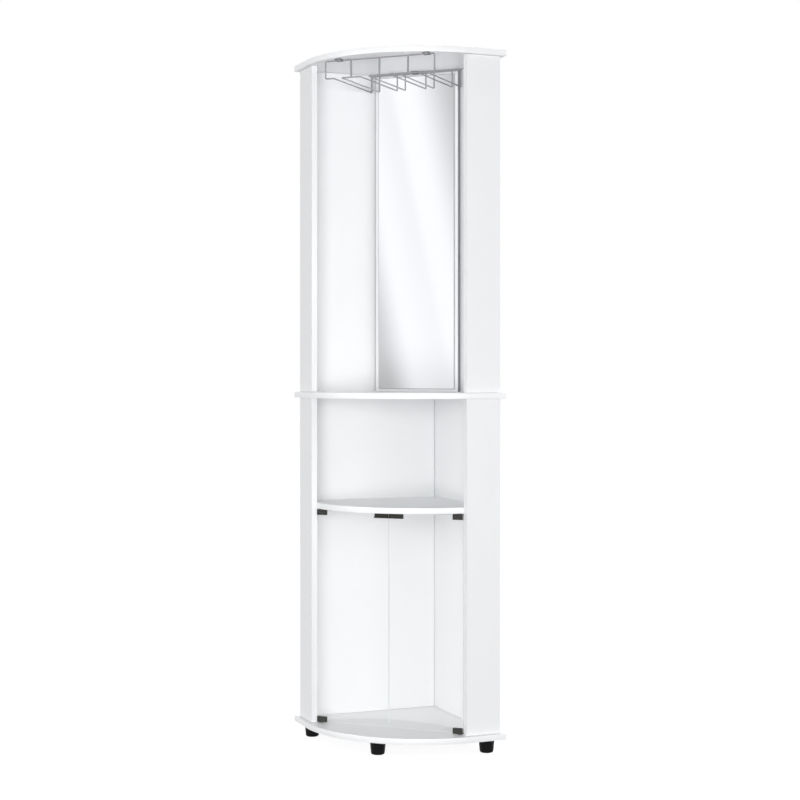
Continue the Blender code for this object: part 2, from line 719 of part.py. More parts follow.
CATCH_FRONT = DOOR_Y + PANE_SLOT / 2 + PULL_WALL + SEAT_GAP
CATCH_TOP = SHELF_BOTTOM - SEAT_GAP
CATCH_MIDDLE_Z = CATCH_TOP - CATCH_HEIGHT / 2
catch_mesh = box("magnetic_catch", (-CATCH_WIDTH / 2, CATCH_FRONT, CATCH_TOP - CATCH_HEIGHT),
                 (CATCH_WIDTH / 2, CATCH_FRONT + CATCH_DEPTH, CATCH_TOP))
soften(catch_mesh, EDGE_ROUNDING)
magnetic_catch = add_object("magnetic_catch", catch_mesh, dark_plastic("magnetic_catch"))
for magnet_name, magnet_side in (("left_catch_magnet", -1), ("right_catch_magnet", 1)):
    middle_x = magnet_side * CATCH_WIDTH / 4
    magnet_low = Vector((middle_x - MAGNET_WIDTH / 2, CATCH_FRONT + MAGNET_INSET,
                         CATCH_MIDDLE_Z - MAGNET_HEIGHT / 2))
    magnet_high = Vector((middle_x + MAGNET_WIDTH / 2, CATCH_FRONT + MAGNET_INSET + MAGNET_DEPTH,
                          CATCH_MIDDLE_Z + MAGNET_HEIGHT / 2))
    room = Vector((SEAT_GAP, SEAT_GAP, SEAT_GAP))
    seat_low = magnet_low - room
    seat_low.y = CATCH_FRONT - OVERRUN
    cut(magnetic_catch, magnet_name + "_seat", [box("seat", seat_low, magnet_high + room)])
    magnet = box(magnet_name, magnet_low, magnet_high)
    add_object(magnet_name, magnet, zinc(magnet_name))


# Wire rack for stemmed glasses

MIDDLE_RAIL_X = RACK_MIDDLE_TEE / 2
SIDE_TEE_INNER_X = MIDDLE_RAIL_X + RACK_SLOT
SIDE_TEE_OUTER_X = SIDE_TEE_INNER_X + RACK_SIDE_TEE
END_RAIL_X = SIDE_TEE_OUTER_X + RACK_SLOT
RACK_END_X = END_RAIL_X + RACK_END_TEE
REAR_BAR_HALF = END_RAIL_X + RACK_REAR_BAR_END
REAR_LIMIT_AT_WALLS = CORNER_Y - REAR_BAR_HALF - RACK_WALL_GAP - RACK_REAR_BAR / 2
REAR_LIMIT_AT_MIRROR = MIRROR_FRONT - RACK_MIRROR_GAP - max(RACK_WIRE, RACK_TEE_WIRE) / 2
RACK_REAR_Y = min(REAR_LIMIT_AT_WALLS, REAR_LIMIT_AT_MIRROR)
RACK_FRONT_Y = RACK_REAR_Y - RACK_DEPTH
RACK_TOP_Z = TOP_BOTTOM - RACK_BOARD_GAP - RACK_WIRE / 2
RACK_REAR_Z = TOP_BOTTOM - RACK_BOARD_GAP - RACK_REAR_BAR / 2
RACK_LOW_Z = RACK_TOP_Z - RACK_DROP


def rounded_path(points, radius):
    """Round each inner corner of a path of straight runs with an arc of the given radius."""
    path = [Vector(points[0])]
    for before, corner, after in zip(points, points[1:], points[2:]):
        corner = Vector(corner)
        back = (Vector(before) - corner).normalized()
        ahead = (Vector(after) - corner).normalized()
        centre = corner + (back + ahead) * radius
        for i in range(RACK_BEND_STEPS + 1):
            turn = math.pi / 2 * i / RACK_BEND_STEPS
            path.append(centre - ahead * radius * math.cos(turn) - back * radius * math.sin(turn))
    path.append(Vector(points[-1]))
    return path


def wire(name, points, diameter):
    """Round wire along a bent path, as a closed mesh."""
    curve = bpy.data.curves.new(name, "CURVE")
    curve.dimensions = "3D"
    curve.bevel_depth = diameter / 2
    curve.bevel_resolution = WIRE_BEVEL_STEPS
    curve.use_fill_caps = True
    path = rounded_path(points, RACK_BEND)
    spline = curve.splines.new("POLY")
    spline.points.add(len(path) - 1)
    for point, place in zip(spline.points, path):
        point.co = (*place, 1.0)
    holder = bpy.data.objects.new(name + "_path", curve)
    bpy.context.scene.collection.objects.link(holder)
    ready = holder.evaluated_get(bpy.context.evaluated_depsgraph_get())
    mesh = bpy.data.meshes.new_from_object(ready)
    bpy.data.objects.remove(holder, do_unlink=True)
    shape = bmesh.new()
    shape.from_mesh(mesh)
    bmesh.ops.remove_doubles(shape, verts=shape.verts, dist=SEAT_GAP / 10)
    return mesh_from(name, shape)


def frame_path():
    """The outer wire: up at the back, along both end rails, and over the front as a bar."""
    half = [(END_RAIL_X, RACK_REAR_Y, RACK_REAR_Z), (END_RAIL_X, RACK_REAR_Y, RACK_LOW_Z),
            (END_RAIL_X, RACK_FRONT_Y, RACK_LOW_Z), (RACK_END_X, RACK_FRONT_Y, RACK_LOW_Z),
            (RACK_END_X, RACK_FRONT_Y, RACK_TOP_Z)]
    return [(-x, y, z) for x, y, z in half] + half[::-1]


def tee_path(inner_x, outer_x):
    """A tee: two rails joined across the front, each rising to the rear bar."""
    half = [(RACK_REAR_Y, RACK_REAR_Z), (RACK_REAR_Y, RACK_LOW_Z), (RACK_FRONT_Y, RACK_LOW_Z)]
    return ([(inner_x, y, z) for y, z in half] + [(outer_x, y, z) for y, z in half[::-1]])


rack = add_object("glass_rack", wire("glass_rack", frame_path(), RACK_WIRE),
                  grey_wire("glass_rack"))
for tee_name, tee_low, tee_high in (("left_tee", -SIDE_TEE_OUTER_X, -SIDE_TEE_INNER_X),
                                    ("middle_tee", -MIDDLE_RAIL_X, MIDDLE_RAIL_X),
                                    ("right_tee", SIDE_TEE_INNER_X, SIDE_TEE_OUTER_X)):
    fuse(rack, tee_name, wire(tee_name, tee_path(tee_low, tee_high), RACK_TEE_WIRE))
    drop_x = (tee_low + tee_high) / 2
    fuse(rack, tee_name + "_drop", wire(tee_name + "_drop",
                                        [(drop_x, RACK_FRONT_Y, RACK_LOW_Z),
                                         (drop_x, RACK_FRONT_Y, RACK_TOP_Z)], RACK_TEE_DROP))
fuse(rack, "rear_bar", wire("rear_bar", [(-REAR_BAR_HALF, RACK_REAR_Y, RACK_REAR_Z),
                                         (REAR_BAR_HALF, RACK_REAR_Y, RACK_REAR_Z)],
                            RACK_REAR_BAR))
smooth(rack)


# Clips that hold the rack's bars against the top board

def rack_clip_profile(bar_radius):
    """Saddle in (y, z) from the bar's centre line: a round back over the bar, a pad in front."""
    bar_depth = RACK_BOARD_GAP - SEAT_GAP + bar_radius
    groove = bar_radius + SEAT_GAP
    back = groove + RACK_CLIP_WALL
    pad_turn = math.asin((RACK_CLIP_PAD - bar_depth) / back)
    front = -RACK_CLIP_REACH
    profile = [(-groove, 0), (front, 0), (front, -RACK_CLIP_PAD + RACK_CLIP_CHAMFER),
               (front + RACK_CLIP_CHAMFER, -RACK_CLIP_PAD)]
    for i in range(CORNER_STEPS + 1):
        turn = pad_turn + (math.pi - pad_turn) * i / CORNER_STEPS
        profile.append((-back * math.cos(turn), -bar_depth - back * math.sin(turn)))
    profile += [(back, 0), (groove, 0)]
    for i in range(CORNER_STEPS + 1):
        turn = math.pi * i / CORNER_STEPS
        profile.append((groove * math.cos(turn), -bar_depth - groove * math.sin(turn)))
    return profile


def rack_clip(name, x, bar_y, bar_radius):
    """One clip with its screw, and the pilot hole for the screw in the board."""
    level = TOP_BOTTOM - SEAT_GAP
    profile = [(bar_y + y, level + z) for y, z in rack_clip_profile(bar_radius)]
    mesh = along_x(name, profile, x - RACK_CLIP_WIDTH / 2, x + RACK_CLIP_WIDTH / 2)
    clip = add_object(name, mesh, grey_plastic(name))
    screw_y = bar_y - (bar_radius + RACK_CLIP_WALL + RACK_CLIP_REACH) / 2
    head_level = level - RACK_CLIP_PAD
    hole = wood_screw_hole(RACK_CLIP_PAD, 0, WOOD_SCREW_HEAD_RADIUS + SEAT_GAP)
    cut(clip, name + "_hole", [moved(hole, x, screw_y, head_level)])
    screw = turned(name + "_screw", wood_screw_profile(RACK_CLIP_PAD), FASTENER_SIDES)
    smooth(add_object(name + "_screw", moved(screw, x, screw_y, head_level),
                      zinc(name + "_screw")))
    pilot = wood_screw_hole(RACK_CLIP_PAD + WOOD_SCREW_BITE, 0, WOOD_SCREW_RADIUS)
    return moved(pilot, x, screw_y, head_level)


rack_pilots = [
    rack_clip("left_rack_clip", -LEFT_RACK_CLIP, RACK_FRONT_Y, RACK_WIRE / 2),
    rack_clip("right_rack_clip", RIGHT_RACK_CLIP, RACK_FRONT_Y, RACK_WIRE / 2),
    rack_clip("rear_rack_clip", 0.0, RACK_REAR_Y, RACK_REAR_BAR / 2),
]
top_screws = [hole for panel in SCREW_PLACES for hole in screw_holes(panel, TOP_TOP, False)]
cut(top_board, "top_board_holes", rack_pilots + top_screws)


# Feet

def foot_profile():
    """Tapered foot with a rounded sole and a screw well, from the well's top round to the top."""
    sole = FOOT_BOTTOM_RADIUS - FOOT_ROUNDING
    top = FOOT_HEIGHT - SEAT_GAP
    profile = [(sole, 0)]
    for i in range(1, CORNER_STEPS + 1):
        turn = math.pi / 2 * i / CORNER_STEPS
        profile.append((sole + FOOT_ROUNDING * math.sin(turn),
                        FOOT_ROUNDING * (1 - math.cos(turn))))
    return [(0, 0)] + profile + [(FOOT_TOP_RADIUS, top - FOOT_RIM_HEIGHT),
                                 (FOOT_TOP_RADIUS, top), (0, top)]


for foot_name, (foot_x, foot_y) in FOOT_PLACES.items():
    foot_mesh = moved(turned(foot_name, foot_profile(), ROUND_SIDES), foot_x, foot_y)
    foot = add_object(foot_name, foot_mesh, black_plastic(foot_name))
    foot_well = wood_screw_hole(FOOT_TOP_WALL, FOOT_SCREW_LEVEL, FOOT_WELL_RADIUS)
    cut(foot, foot_name + "_well", [moved(foot_well, foot_x, foot_y, FOOT_SCREW_LEVEL)])
    smooth(foot)
    screw_name = foot_name + "_screw"
    foot_screw = turned(screw_name, wood_screw_profile(FOOT_TOP_WALL), FASTENER_SIDES)
    smooth(add_object(screw_name, moved(foot_screw, foot_x, foot_y, FOOT_SCREW_LEVEL),
                      zinc(screw_name)))
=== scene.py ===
"""Looks of a white corner bar cabinet, 1.80 m tall, as photographed in a bright studio.

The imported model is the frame: metres, +Z up, the front towards -Y, the room's corner towards +Y.
"""
import math

import bmesh
import bpy
from mathutils import Matrix, Vector


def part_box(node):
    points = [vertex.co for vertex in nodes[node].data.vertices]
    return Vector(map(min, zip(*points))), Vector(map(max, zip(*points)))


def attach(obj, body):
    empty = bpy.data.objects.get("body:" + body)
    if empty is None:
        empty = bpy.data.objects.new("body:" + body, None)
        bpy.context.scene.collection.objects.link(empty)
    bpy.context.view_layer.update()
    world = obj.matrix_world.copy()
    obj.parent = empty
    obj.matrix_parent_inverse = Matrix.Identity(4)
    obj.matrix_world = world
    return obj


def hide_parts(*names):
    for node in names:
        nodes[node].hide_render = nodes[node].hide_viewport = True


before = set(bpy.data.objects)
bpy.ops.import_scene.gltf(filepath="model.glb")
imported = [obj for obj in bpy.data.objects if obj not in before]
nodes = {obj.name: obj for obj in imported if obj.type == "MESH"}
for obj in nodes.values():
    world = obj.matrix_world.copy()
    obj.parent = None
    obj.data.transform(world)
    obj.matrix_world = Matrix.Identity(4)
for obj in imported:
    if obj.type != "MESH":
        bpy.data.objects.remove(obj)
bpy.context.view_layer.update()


# The laminated boards. Each is 15 mm particle board, faced on both sides with white melamine
# paper, cut to its outline and closed with a glued plastic edge band where the edge shows.
# A board is made here as it is in the workshop: outline, core, then band.

BAND_THICKNESS = 0.0008
BAND_ROUNDING = 0.0003
BAND_PROUD = 0.00004
BAND_STEPS = 2
ARC_STEPS = 72
HOLE_SIDES = 48
SCREWED_PANELS = (("left_side", 1), ("right_side", 1), ("left_back", 2), ("right_back", 2))
FLAT_ANGLE = math.radians(25)

base_low, base_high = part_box("base_board")
board_span = base_high.x - base_low.x
board_depth = base_high.y - base_low.y
board_side = board_span / math.sqrt(2)
front_radius = (board_span - board_depth) / (math.sqrt(2) - 1)


def linear(hex_code):
    """Turn an sRGB hex colour into linear RGBA."""
    shares = [int(hex_code[i:i + 2], 16) / 255 for i in (1, 3, 5)]
    return [s / 12.92 if s <= 0.04045 else ((s + 0.055) / 1.055) ** 2.4 for s in shares] + [1.0]


def add_node(tree, kind, links=None, **settings):
    """Add a node, set its properties, and link or fill its inputs by name or number."""
    node = tree.nodes.new(kind)
    for name, value in settings.items():
        setattr(node, name, value)
    for socket, source in (links or {}).items():
        if isinstance(source, bpy.types.NodeSocket):
            tree.links.new(source, node.inputs[socket])
        else:
            node.inputs[socket].default_value = source
    return node


def new_material(name, sockets):
    """Return a material's tree, its Principled shader with these sockets set, and the material."""
    material = bpy.data.materials.new(name)
    material.use_nodes = True
    tree = material.node_tree
    shader = tree.nodes["Principled BSDF"]
    for socket, value in sockets.items():
        shader.inputs[socket].default_value = value
    return tree, shader, material


def grained(tree, shader, per_metre, detail, tones=None, press=None, sheen=None, stretch=None):
    """Lay a grain over a piece, with about per_metre grains to the metre.

    The grain mixes the two tones, presses a relief of a strength and a depth, and varies the
    roughness over sheen. stretch multiplies the grains along each axis.
    """
    spot = add_node(tree, "ShaderNodeTexCoord").outputs["Object"]
    if stretch:
        drawn_out = add_node(tree, "ShaderNodeMapping", {"Vector": spot, "Scale": stretch})
        spot = drawn_out.outputs["Vector"]
    noise = add_node(tree, "ShaderNodeTexNoise", {"Vector": spot, "Scale": per_metre,
                                                  "Detail": detail}).outputs["Fac"]
    if tones:
        tone = add_node(tree, "ShaderNodeMix", {0: noise, 6: linear(tones[0]),
                                                7: linear(tones[1])}, data_type="RGBA")
        tree.links.new(tone.outputs[2], shader.inputs["Base Color"])
    if press:
        relief = add_node(tree, "ShaderNodeBump", {"Height": noise, "Strength": press[0],
                                                   "Distance": press[1]})
        tree.links.new(relief.outputs["Normal"], shader.inputs["Normal"])
    if sheen:
        polish = add_node(tree, "ShaderNodeMapRange", {"Value": noise, "To Min": sheen[0],
                                                       "To Max": sheen[1]})
        tree.links.new(polish.outputs["Result"], shader.inputs["Roughness"])


def melamine_paper():
    """White melamine laminate: satin, with a faint pearl grain pressed in by the plate."""
    tree, shader, material = new_material("white_melamine_laminate", {"Specular IOR Level": 0.45})
    grained(tree, shader, 7.0, 3.0, tones=("#F0F1F2", "#F4F5F6"))
    # The pressed grain is 0.3 mm wide on the real paper and is drawn at 1.6 mm, so that it shows.
    grained(tree, shader, 620.0, 2.0, press=(0.10, 0.00005), sheen=(0.30, 0.42))
    return material


def edge_band():
    """PVC edge band: the same white, a little smoother, with fine lines from the calender."""
    tree, shader, material = new_material("white_pvc_edge_band", {"Roughness": 0.28})
    # The lines lie level, 1.1 mm apart, so that they run along the boards' edges.
    grained(tree, shader, 1.0, 2.0, tones=("#F6F7F8", "#F9FAFB"), press=(0.06, 0.00004),
            stretch=(30.0, 30.0, 900.0))
    return material


laminate = melamine_paper()
band = edge_band()


def board_tree():
    """Geometry Nodes: cut the core from a plan outline, then glue the band to its marked edges."""
    tree = bpy.data.node_groups.new("cut_and_banded_board", "GeometryNodeTree")
    tree.interface.new_socket("Geometry", in_out="INPUT", socket_type="NodeSocketGeometry")
    tree.interface.new_socket("Height", in_out="INPUT", socket_type="NodeSocketFloat")
    tree.interface.new_socket("Level", in_out="INPUT", socket_type="NodeSocketFloat")
    tree.interface.new_socket("Band Thickness", in_out="INPUT", socket_type="NodeSocketFloat")
    tree.interface.new_socket("Geometry", in_out="OUTPUT", socket_type="NodeSocketGeometry")
    given = add_node(tree, "NodeGroupInput")
    outline = add_node(tree, "GeometryNodeMeshToCurve", {"Mesh": given.outputs["Geometry"]})
    sheet = add_node(tree, "GeometryNodeFillCurve", {"Curve": outline.outputs["Curve"]},
                     mode="NGONS")
    proud = add_node(tree, "ShaderNodeMath", {0: given.outputs["Height"], 1: 2 * BAND_PROUD},
                     operation="SUBTRACT")
    up = add_node(tree, "ShaderNodeCombineXYZ", {"Z": proud.outputs["Value"]})
    raised = add_node(tree, "GeometryNodeExtrudeMesh",
                      {"Mesh": sheet.outputs["Mesh"], "Offset": up.outputs["Vector"],
                       "Offset Scale": 1.0, "Individual": False})
    underside = add_node(tree, "GeometryNodeFlipFaces", {"Mesh": sheet.outputs["Mesh"]})
    closed = add_node(tree, "GeometryNodeJoinGeometry", {"Geometry": raised.outputs["Mesh"]})
    tree.links.new(underside.outputs["Mesh"], closed.inputs["Geometry"])
    welded = add_node(tree, "GeometryNodeMergeByDistance",
                      {"Geometry": closed.outputs["Geometry"], "Distance": BAND_PROUD / 4})
    lifted = add_node(tree, "GeometryNodeTransform", {"Geometry": welded.outputs["Geometry"],
                                                      "Translation": (0, 0, BAND_PROUD)})
    marked = add_node(tree, "GeometryNodeInputNamedAttribute", {"Name": "banded"},
                      data_type="BOOLEAN")
    run = add_node(tree, "GeometryNodeMeshToCurve", {"Mesh": given.outputs["Geometry"],
                                                     "Selection": marked.outputs["Attribute"]})
    upright = add_node(tree, "GeometryNodeSetCurveNormal", {"Curve": run.outputs["Curve"]},
                       mode="Z_UP")
    strip = add_node(tree, "GeometryNodeCurvePrimitiveQuadrilateral",
                     {"Width": given.outputs["Band Thickness"], "Height": given.outputs["Height"]})
    soft_strip = add_node(tree, "GeometryNodeFilletCurve",
                          {"Curve": strip.outputs["Curve"], "Radius": BAND_ROUNDING,
                           "Count": BAND_STEPS, "Limit Radius": True}, mode="POLY")
    swept = add_node(tree, "GeometryNodeCurveToMesh",
                     {"Curve": upright.outputs["Curve"],
                      "Profile Curve": soft_strip.outputs["Curve"], "Fill Caps": True})
    half = add_node(tree, "ShaderNodeMath", {0: given.outputs["Height"], 1: 2.0},
                    operation="DIVIDE")
    middle = add_node(tree, "ShaderNodeCombineXYZ", {"Z": half.outputs["Value"]})
    seated = add_node(tree, "GeometryNodeTransform", {"Geometry": swept.outputs["Mesh"],
                                                      "Translation": middle.outputs["Vector"]})
    glued = add_node(tree, "GeometryNodeStoreNamedAttribute",
                     {"Geometry": seated.outputs["Geometry"], "Name": "glued", "Value": True},
                     data_type="BOOLEAN", domain="FACE")
    both = add_node(tree, "GeometryNodeJoinGeometry", {"Geometry": glued.outputs["Geometry"]})
    tree.links.new(lifted.outputs["Geometry"], both.inputs["Geometry"])
    level = add_node(tree, "ShaderNodeCombineXYZ", {"Z": given.outputs["Level"]})
    at_level = add_node(tree, "GeometryNodeTransform", {"Geometry": both.outputs["Geometry"],
                                                        "Translation": level.outputs["Vector"]})
    real = add_node(tree, "GeometryNodeRealizeInstances",
                    {"Geometry": at_level.outputs["Geometry"]})
    faced = add_node(tree, "GeometryNodeSetMaterial", {"Geometry": real.outputs["Geometry"],
                                                       "Material": laminate})
    strip_faces = add_node(tree, "GeometryNodeInputNamedAttribute", {"Name": "glued"},
                           data_type="BOOLEAN")
    banded = add_node(tree, "GeometryNodeSetMaterial",
                      {"Geometry": faced.outputs["Geometry"], "Material": band,
                       "Selection": strip_faces.outputs["Attribute"]})
    add_node(tree, "NodeGroupOutput", {"Geometry": banded.outputs["Geometry"]})
    return tree


cut_and_band = board_tree()


def grown(piece, tree, **inputs):
    """Run a Geometry Nodes tree on a piece, then keep the result as its plain mesh."""
    grower = piece.modifiers.new(tree.name, "NODES")
    grower.node_group = tree
    for socket in tree.interface.items_tree:
        if socket.in_out == "INPUT" and socket.name.replace(" ", "_").lower() in inputs:
            grower[socket.identifier] = inputs[socket.name.replace(" ", "_").lower()]
    return settled(piece)


def settled(piece):
    """Turn a piece with its modifiers into one plain mesh, smooth but for its real edges."""
    ready = piece.evaluated_get(bpy.context.evaluated_depsgraph_get())
    mesh = bpy.data.meshes.new_from_object(ready)
    piece.modifiers.clear()
    piece.data = mesh
    if mesh.materials[0] is None:
        mesh.materials.pop(index=0)
    mesh.shade_smooth()
    mesh.set_sharp_from_angle(angle=FLAT_ANGLE)
    return piece


def placed(name, data):
    """Link a mesh, a lamp or the camera as an object of the scene."""
    piece = bpy.data.objects.new(name, data)
    bpy.context.scene.collection.objects.link(piece)
    return piece


def plan(a, b):
    """Distances along the right and the left wall, from the boards' back corner, as x and y."""
    return ((a - b) / math.sqrt(2), base_high.y - (a + b) / math.sqrt(2))


def board(node, outline, banded, holes=(), joint=0.0):
    """Make one board in place of a node.

    banded holds the outline's sides that get the band, and joint is the gap at both ends.
    """
    low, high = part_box(node)
    mesh = bpy.data.meshes.new(node + "_board")
    points, edges = [], []
    for loop in (outline, *holes):
        start, count = len(points), len(loop)
        points += [(x, y, 0) for x, y in loop]
        edges += [(start + i, start + (i + 1) % count) for i in range(count)]
    mesh.from_pydata(points, edges, [])
    marks = mesh.attributes.new("banded", "BOOLEAN", "EDGE")
    marks.data.foreach_set("value", [i in banded for i in range(len(edges))])
    piece = placed(node + "_board", mesh)
    grown(piece, cut_and_band, height=high.z - low.z - 2 * joint, level=low.z + joint,
          band_thickness=BAND_THICKNESS)
    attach(piece, "carcase")
    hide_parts(node)
    return piece


def main_outline():
    """The square with its large rounded front corner, drawn half a band inside its edge."""
    inset = BAND_THICKNESS / 2
    side = board_side - inset
    centre = board_side - front_radius
    radius = front_radius - inset
    corners = [(inset, inset), (side, inset)]
    for i in range(ARC_STEPS + 1):
        turn = math.pi / 2 * i / ARC_STEPS
        corners.append((centre + radius * math.cos(turn), centre + radius * math.sin(turn)))
    return [plan(a, b) for a, b in corners + [(inset, side)]]


def screw_hole(node):
    """Circle round the head of a furniture screw."""
    low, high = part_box(node)
    radius = (high.x - low.x) / 2
    turns = [2 * math.pi * i / HOLE_SIDES for i in range(HOLE_SIDES)]
    return [((low.x + high.x) / 2 + radius * math.cos(turn),
             (low.y + high.y) / 2 + radius * math.sin(turn)) for turn in turns]


def furniture_screws(level):
    """Nodes of the screws that hold the panels to the top or the base board."""
    return [f"{level}_{panel}_screw_{i + 1}" for panel, count in SCREWED_PANELS
            for i in range(count)]


main_points = main_outline()
whole_edge = set(range(len(main_points)))
board("middle_board", main_points, whole_edge)
# As photographed, the mirror shows neither the top board nor the rack and its fixings, so these
# are hidden from glossy rays.
for level in ("base", "top"):
    screwed_board = board(level + "_board", main_points, whole_edge,
                          [screw_hole(node) for node in furniture_screws(level)])
    screwed_board.visible_glossy = level == "base"


# The upright panels. Two narrow side panels stand square to the back walls, which meet in the
# corner in a butt joint. Only the side panels' front edges are banded, and hidden sawn ends
# stay bare, so that each joint shows as a thin grey line.

OVERHANG = 0.012
PANEL_WIDTH = 0.095
SEAT = 0.0003
CORNER_JOINT = 0.0009
END_JOINT = 0.0003
CORNER_END = (math.sqrt(0.5), math.sqrt(0.5), 0)
ALIGNED = 0.9
board_thickness = base_high.z - base_low.z
wall_face = OVERHANG + board_thickness
panel_outside = board_side - OVERHANG
panel_inside = panel_outside - board_thickness
panel_front = OVERHANG + PANEL_WIDTH
edge = panel_front - BAND_THICKNESS / 2


def rectangle(a0, a1, b0, b1):
    """Plan corners of an upright panel."""
    return [plan(a0, b0), plan(a1, b0), plan(a1, b1), plan(a0, b1)]


def sawn_edge(name, light, dark):
    """Sawn end of particle board or fibreboard: matt and slightly fuzzy, with fine fibres."""
    tree, shader, material = new_material(name, {"Roughness": 0.85})
    # The fibres are 1 mm wide, as in the core of the board.
    grained(tree, shader, 900.0, 4.0, tones=(dark, light), press=(0.4, 0.0002))
    return material


def leave_sawn(piece, material, directions):
    """Leave bare the faces of a board's core that look one of these ways."""
    piece.data.materials.append(material)
    paper = piece.data.materials.find(laminate.name)
    for face in piece.data.polygons:
        looks_out = any(face.normal.dot(way) > ALIGNED for way in directions)
        if face.material_index == paper and looks_out:
            face.material_index = len(piece.data.materials) - 1


bare_core = sawn_edge("sawn_particle_board", "#7D6F5E", "#5F5447")
panel_ends = [Vector((0, 0, 1)), Vector((0, 0, -1))]
for level in ("lower", "upper"):
    for side_panel, outline, front in (
            ("right_side_", rectangle(panel_inside, panel_outside, OVERHANG, edge), {2}),
            ("left_side_", rectangle(OVERHANG, edge, panel_inside, panel_outside), {1})):
        leave_sawn(board(side_panel + level, outline, front), bare_core, panel_ends)
    right_wall = board("right_back_" + level,
                       rectangle(OVERHANG, panel_inside - SEAT, OVERHANG, wall_face), set(),
                       joint=END_JOINT)
    leave_sawn(right_wall, bare_core, panel_ends)
    left_wall = board("left_back_" + level,
                      rectangle(OVERHANG, wall_face, wall_face + CORNER_JOINT, panel_inside - SEAT),
                      set(), joint=END_JOINT)
    leave_sawn(left_wall, bare_core, panel_ends + [Vector(CORNER_END)])


# The shelf over the cupboard. It sits inside the walls and side panels on hidden dowels, and its
# banded front bows out past the glass doors.

SHELF_RADIUS = 0.290


def shelf_outline():
    """Back corner and both ends, then the bowed front as an arc."""
    inner = wall_face + SEAT
    outer = panel_inside - SEAT
    end_x, end_y = plan(outer, panel_front)
    centre_y = end_y + math.sqrt(SHELF_RADIUS ** 2 - end_x ** 2)
    half_turn = math.asin(end_x / SHELF_RADIUS)
    radius = SHELF_RADIUS - BAND_THICKNESS / 2
    points = [plan(outer, inner), plan(inner, inner), plan(inner, outer)]
    for i in range(ARC_STEPS + 1):
        turn = -half_turn + 2 * half_turn * i / ARC_STEPS
        points.append((radius * math.sin(turn), centre_y - radius * math.cos(turn)))
    return points


shelf_points = shelf_outline()
board("cupboard_shelf", shelf_points, set(range(3, len(shelf_points) - 1)))


# The mirror. A 12 mm board stands across the upper corner, and a 3 mm silvered mirror with
# polished edges is glued to it, with a border of board, 8 to 11 mm wide, all round.

MIRROR_BEVEL = 0.0012
EASED_EDGE = 0.0012


def silvered_glass():
    """Mirror glass: silver behind float glass, with a very slight ripple and a film of dust."""
    tree, shader, material = new_material(
        "silvered_mirror_glass", {"Base Color": linear("#F8F9FC"), "Metallic": 1.0})
    grained(tree, shader, 11.0, 4.0, sheen=(0.010, 0.035))
    # Float glass ripples over about 250 mm.
    grained(tree, shader, 4.0, 0.0, press=(0.15, 0.0002))
    return material


def glass_sheet(name, low, high, arris):
    """Sheet of glass between two corners, with a flat arris along every edge."""
    shape = bmesh.new()
    bmesh.ops.create_cube(shape, size=1.0)
    size = Vector(high) - Vector(low)
    bmesh.ops.scale(shape, vec=size, verts=shape.verts)
    bmesh.ops.translate(shape, vec=(Vector(high) + Vector(low)) / 2, verts=shape.verts)
    bmesh.ops.bevel(shape, geom=shape.edges[:], offset=arris, segments=1, affect="EDGES")
    mesh = bpy.data.meshes.new(name)
    shape.to_mesh(mesh)
    shape.free()
    mesh.shade_smooth()
    mesh.set_sharp_from_angle(angle=FLAT_ANGLE)
    return mesh


def polished_edge():
    """Polished edge of the mirror: smooth grey glass, with no silver behind it."""
    tree, shader, material = new_material("polished_mirror_edge", {"Roughness": 0.2})
    grained(tree, shader, 60.0, 2.0, tones=("#8A8E90", "#9A9EA0"))
    return material


mirror_low, mirror_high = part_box("mirror_board")
mirror_back = board("mirror_board", [
    (mirror_low.x, mirror_low.y + EASED_EDGE), (mirror_low.x + EASED_EDGE, mirror_low.y),
    (mirror_high.x - EASED_EDGE, mirror_low.y), (mirror_high.x, mirror_low.y + EASED_EDGE),
    (mirror_high.x, mirror_high.y), (mirror_low.x, mirror_high.y)], set())
# The mirror board's sawn ends are a dark grey, which is painted shade: it stands in for the shadow
# in the narrow gap between the board's end and the wall.
leave_sawn(mirror_back, sawn_edge("primed_fibreboard_edge", "#A0A0A4", "#8E8E92"),
           [Vector((x, y, 0)).normalized() for x in (-1, 1) for y in (0, -1)])
mirror_pane = placed("mirror_pane",
                     glass_sheet("mirror_pane", *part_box("mirror_glass"), MIRROR_BEVEL))
mirror_pane.data.materials.append(silvered_glass())
mirror_pane.data.materials.append(polished_edge())
for face in mirror_pane.data.polygons:
    face.material_index = 0 if face.normal.y < -ALIGNED else 1
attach(mirror_pane, "carcase")
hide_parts("mirror_glass")


# The doors. Each is one clear 4 mm pane with ground edges and no frame, which turns on the
# two clips at its outer corners. The ground edges look a little greener and duller.

PANE_ARRIS = 0.0005
PANE_FLAT = 0.99
PANE_SHADE = 0.04


def clear_glass():
    """Clear float glass, colourless through 4 mm, with the strong reflection of a clean pane."""
    tree, shader, material = new_material(
        "clear_float_glass", {"Base Color": linear("#FFFFFF"), "IOR": 1.95,
                              "Transmission Weight": 1.0})
    grained(tree, shader, 9.0, 5.0, sheen=(0.0, 0.02))
    # The pane hardly holds back the light of the lamps, as real thin glass does.
    ray = add_node(tree, "ShaderNodeLightPath")
    lighting = add_node(tree, "ShaderNodeMath", {0: ray.outputs["Is Shadow Ray"],
                                                 1: ray.outputs["Is Diffuse Ray"]},
                        operation="MAXIMUM")
    solidity = add_node(tree, "ShaderNodeMapRange", {"Value": lighting.outputs["Value"],
                                                     "To Min": 1.0, "To Max": PANE_SHADE})
    tree.links.new(solidity.outputs["Result"], shader.inputs["Alpha"])
    return material


def ground_edge():
    """Ground glass edge: frosted and a little green, under fine grinding marks."""
    tree, shader, material = new_material(
        "ground_glass_edge", {"Roughness": 0.35, "Transmission Weight": 0.1})
    # The marks are 0.1 mm wide on the real edge and are drawn at 1.1 mm, so that they show.
    grained(tree, shader, 900.0, 2.0, tones=("#F2F7F5", "#FBFEFD"), press=(0.2, 0.0001))
    return material


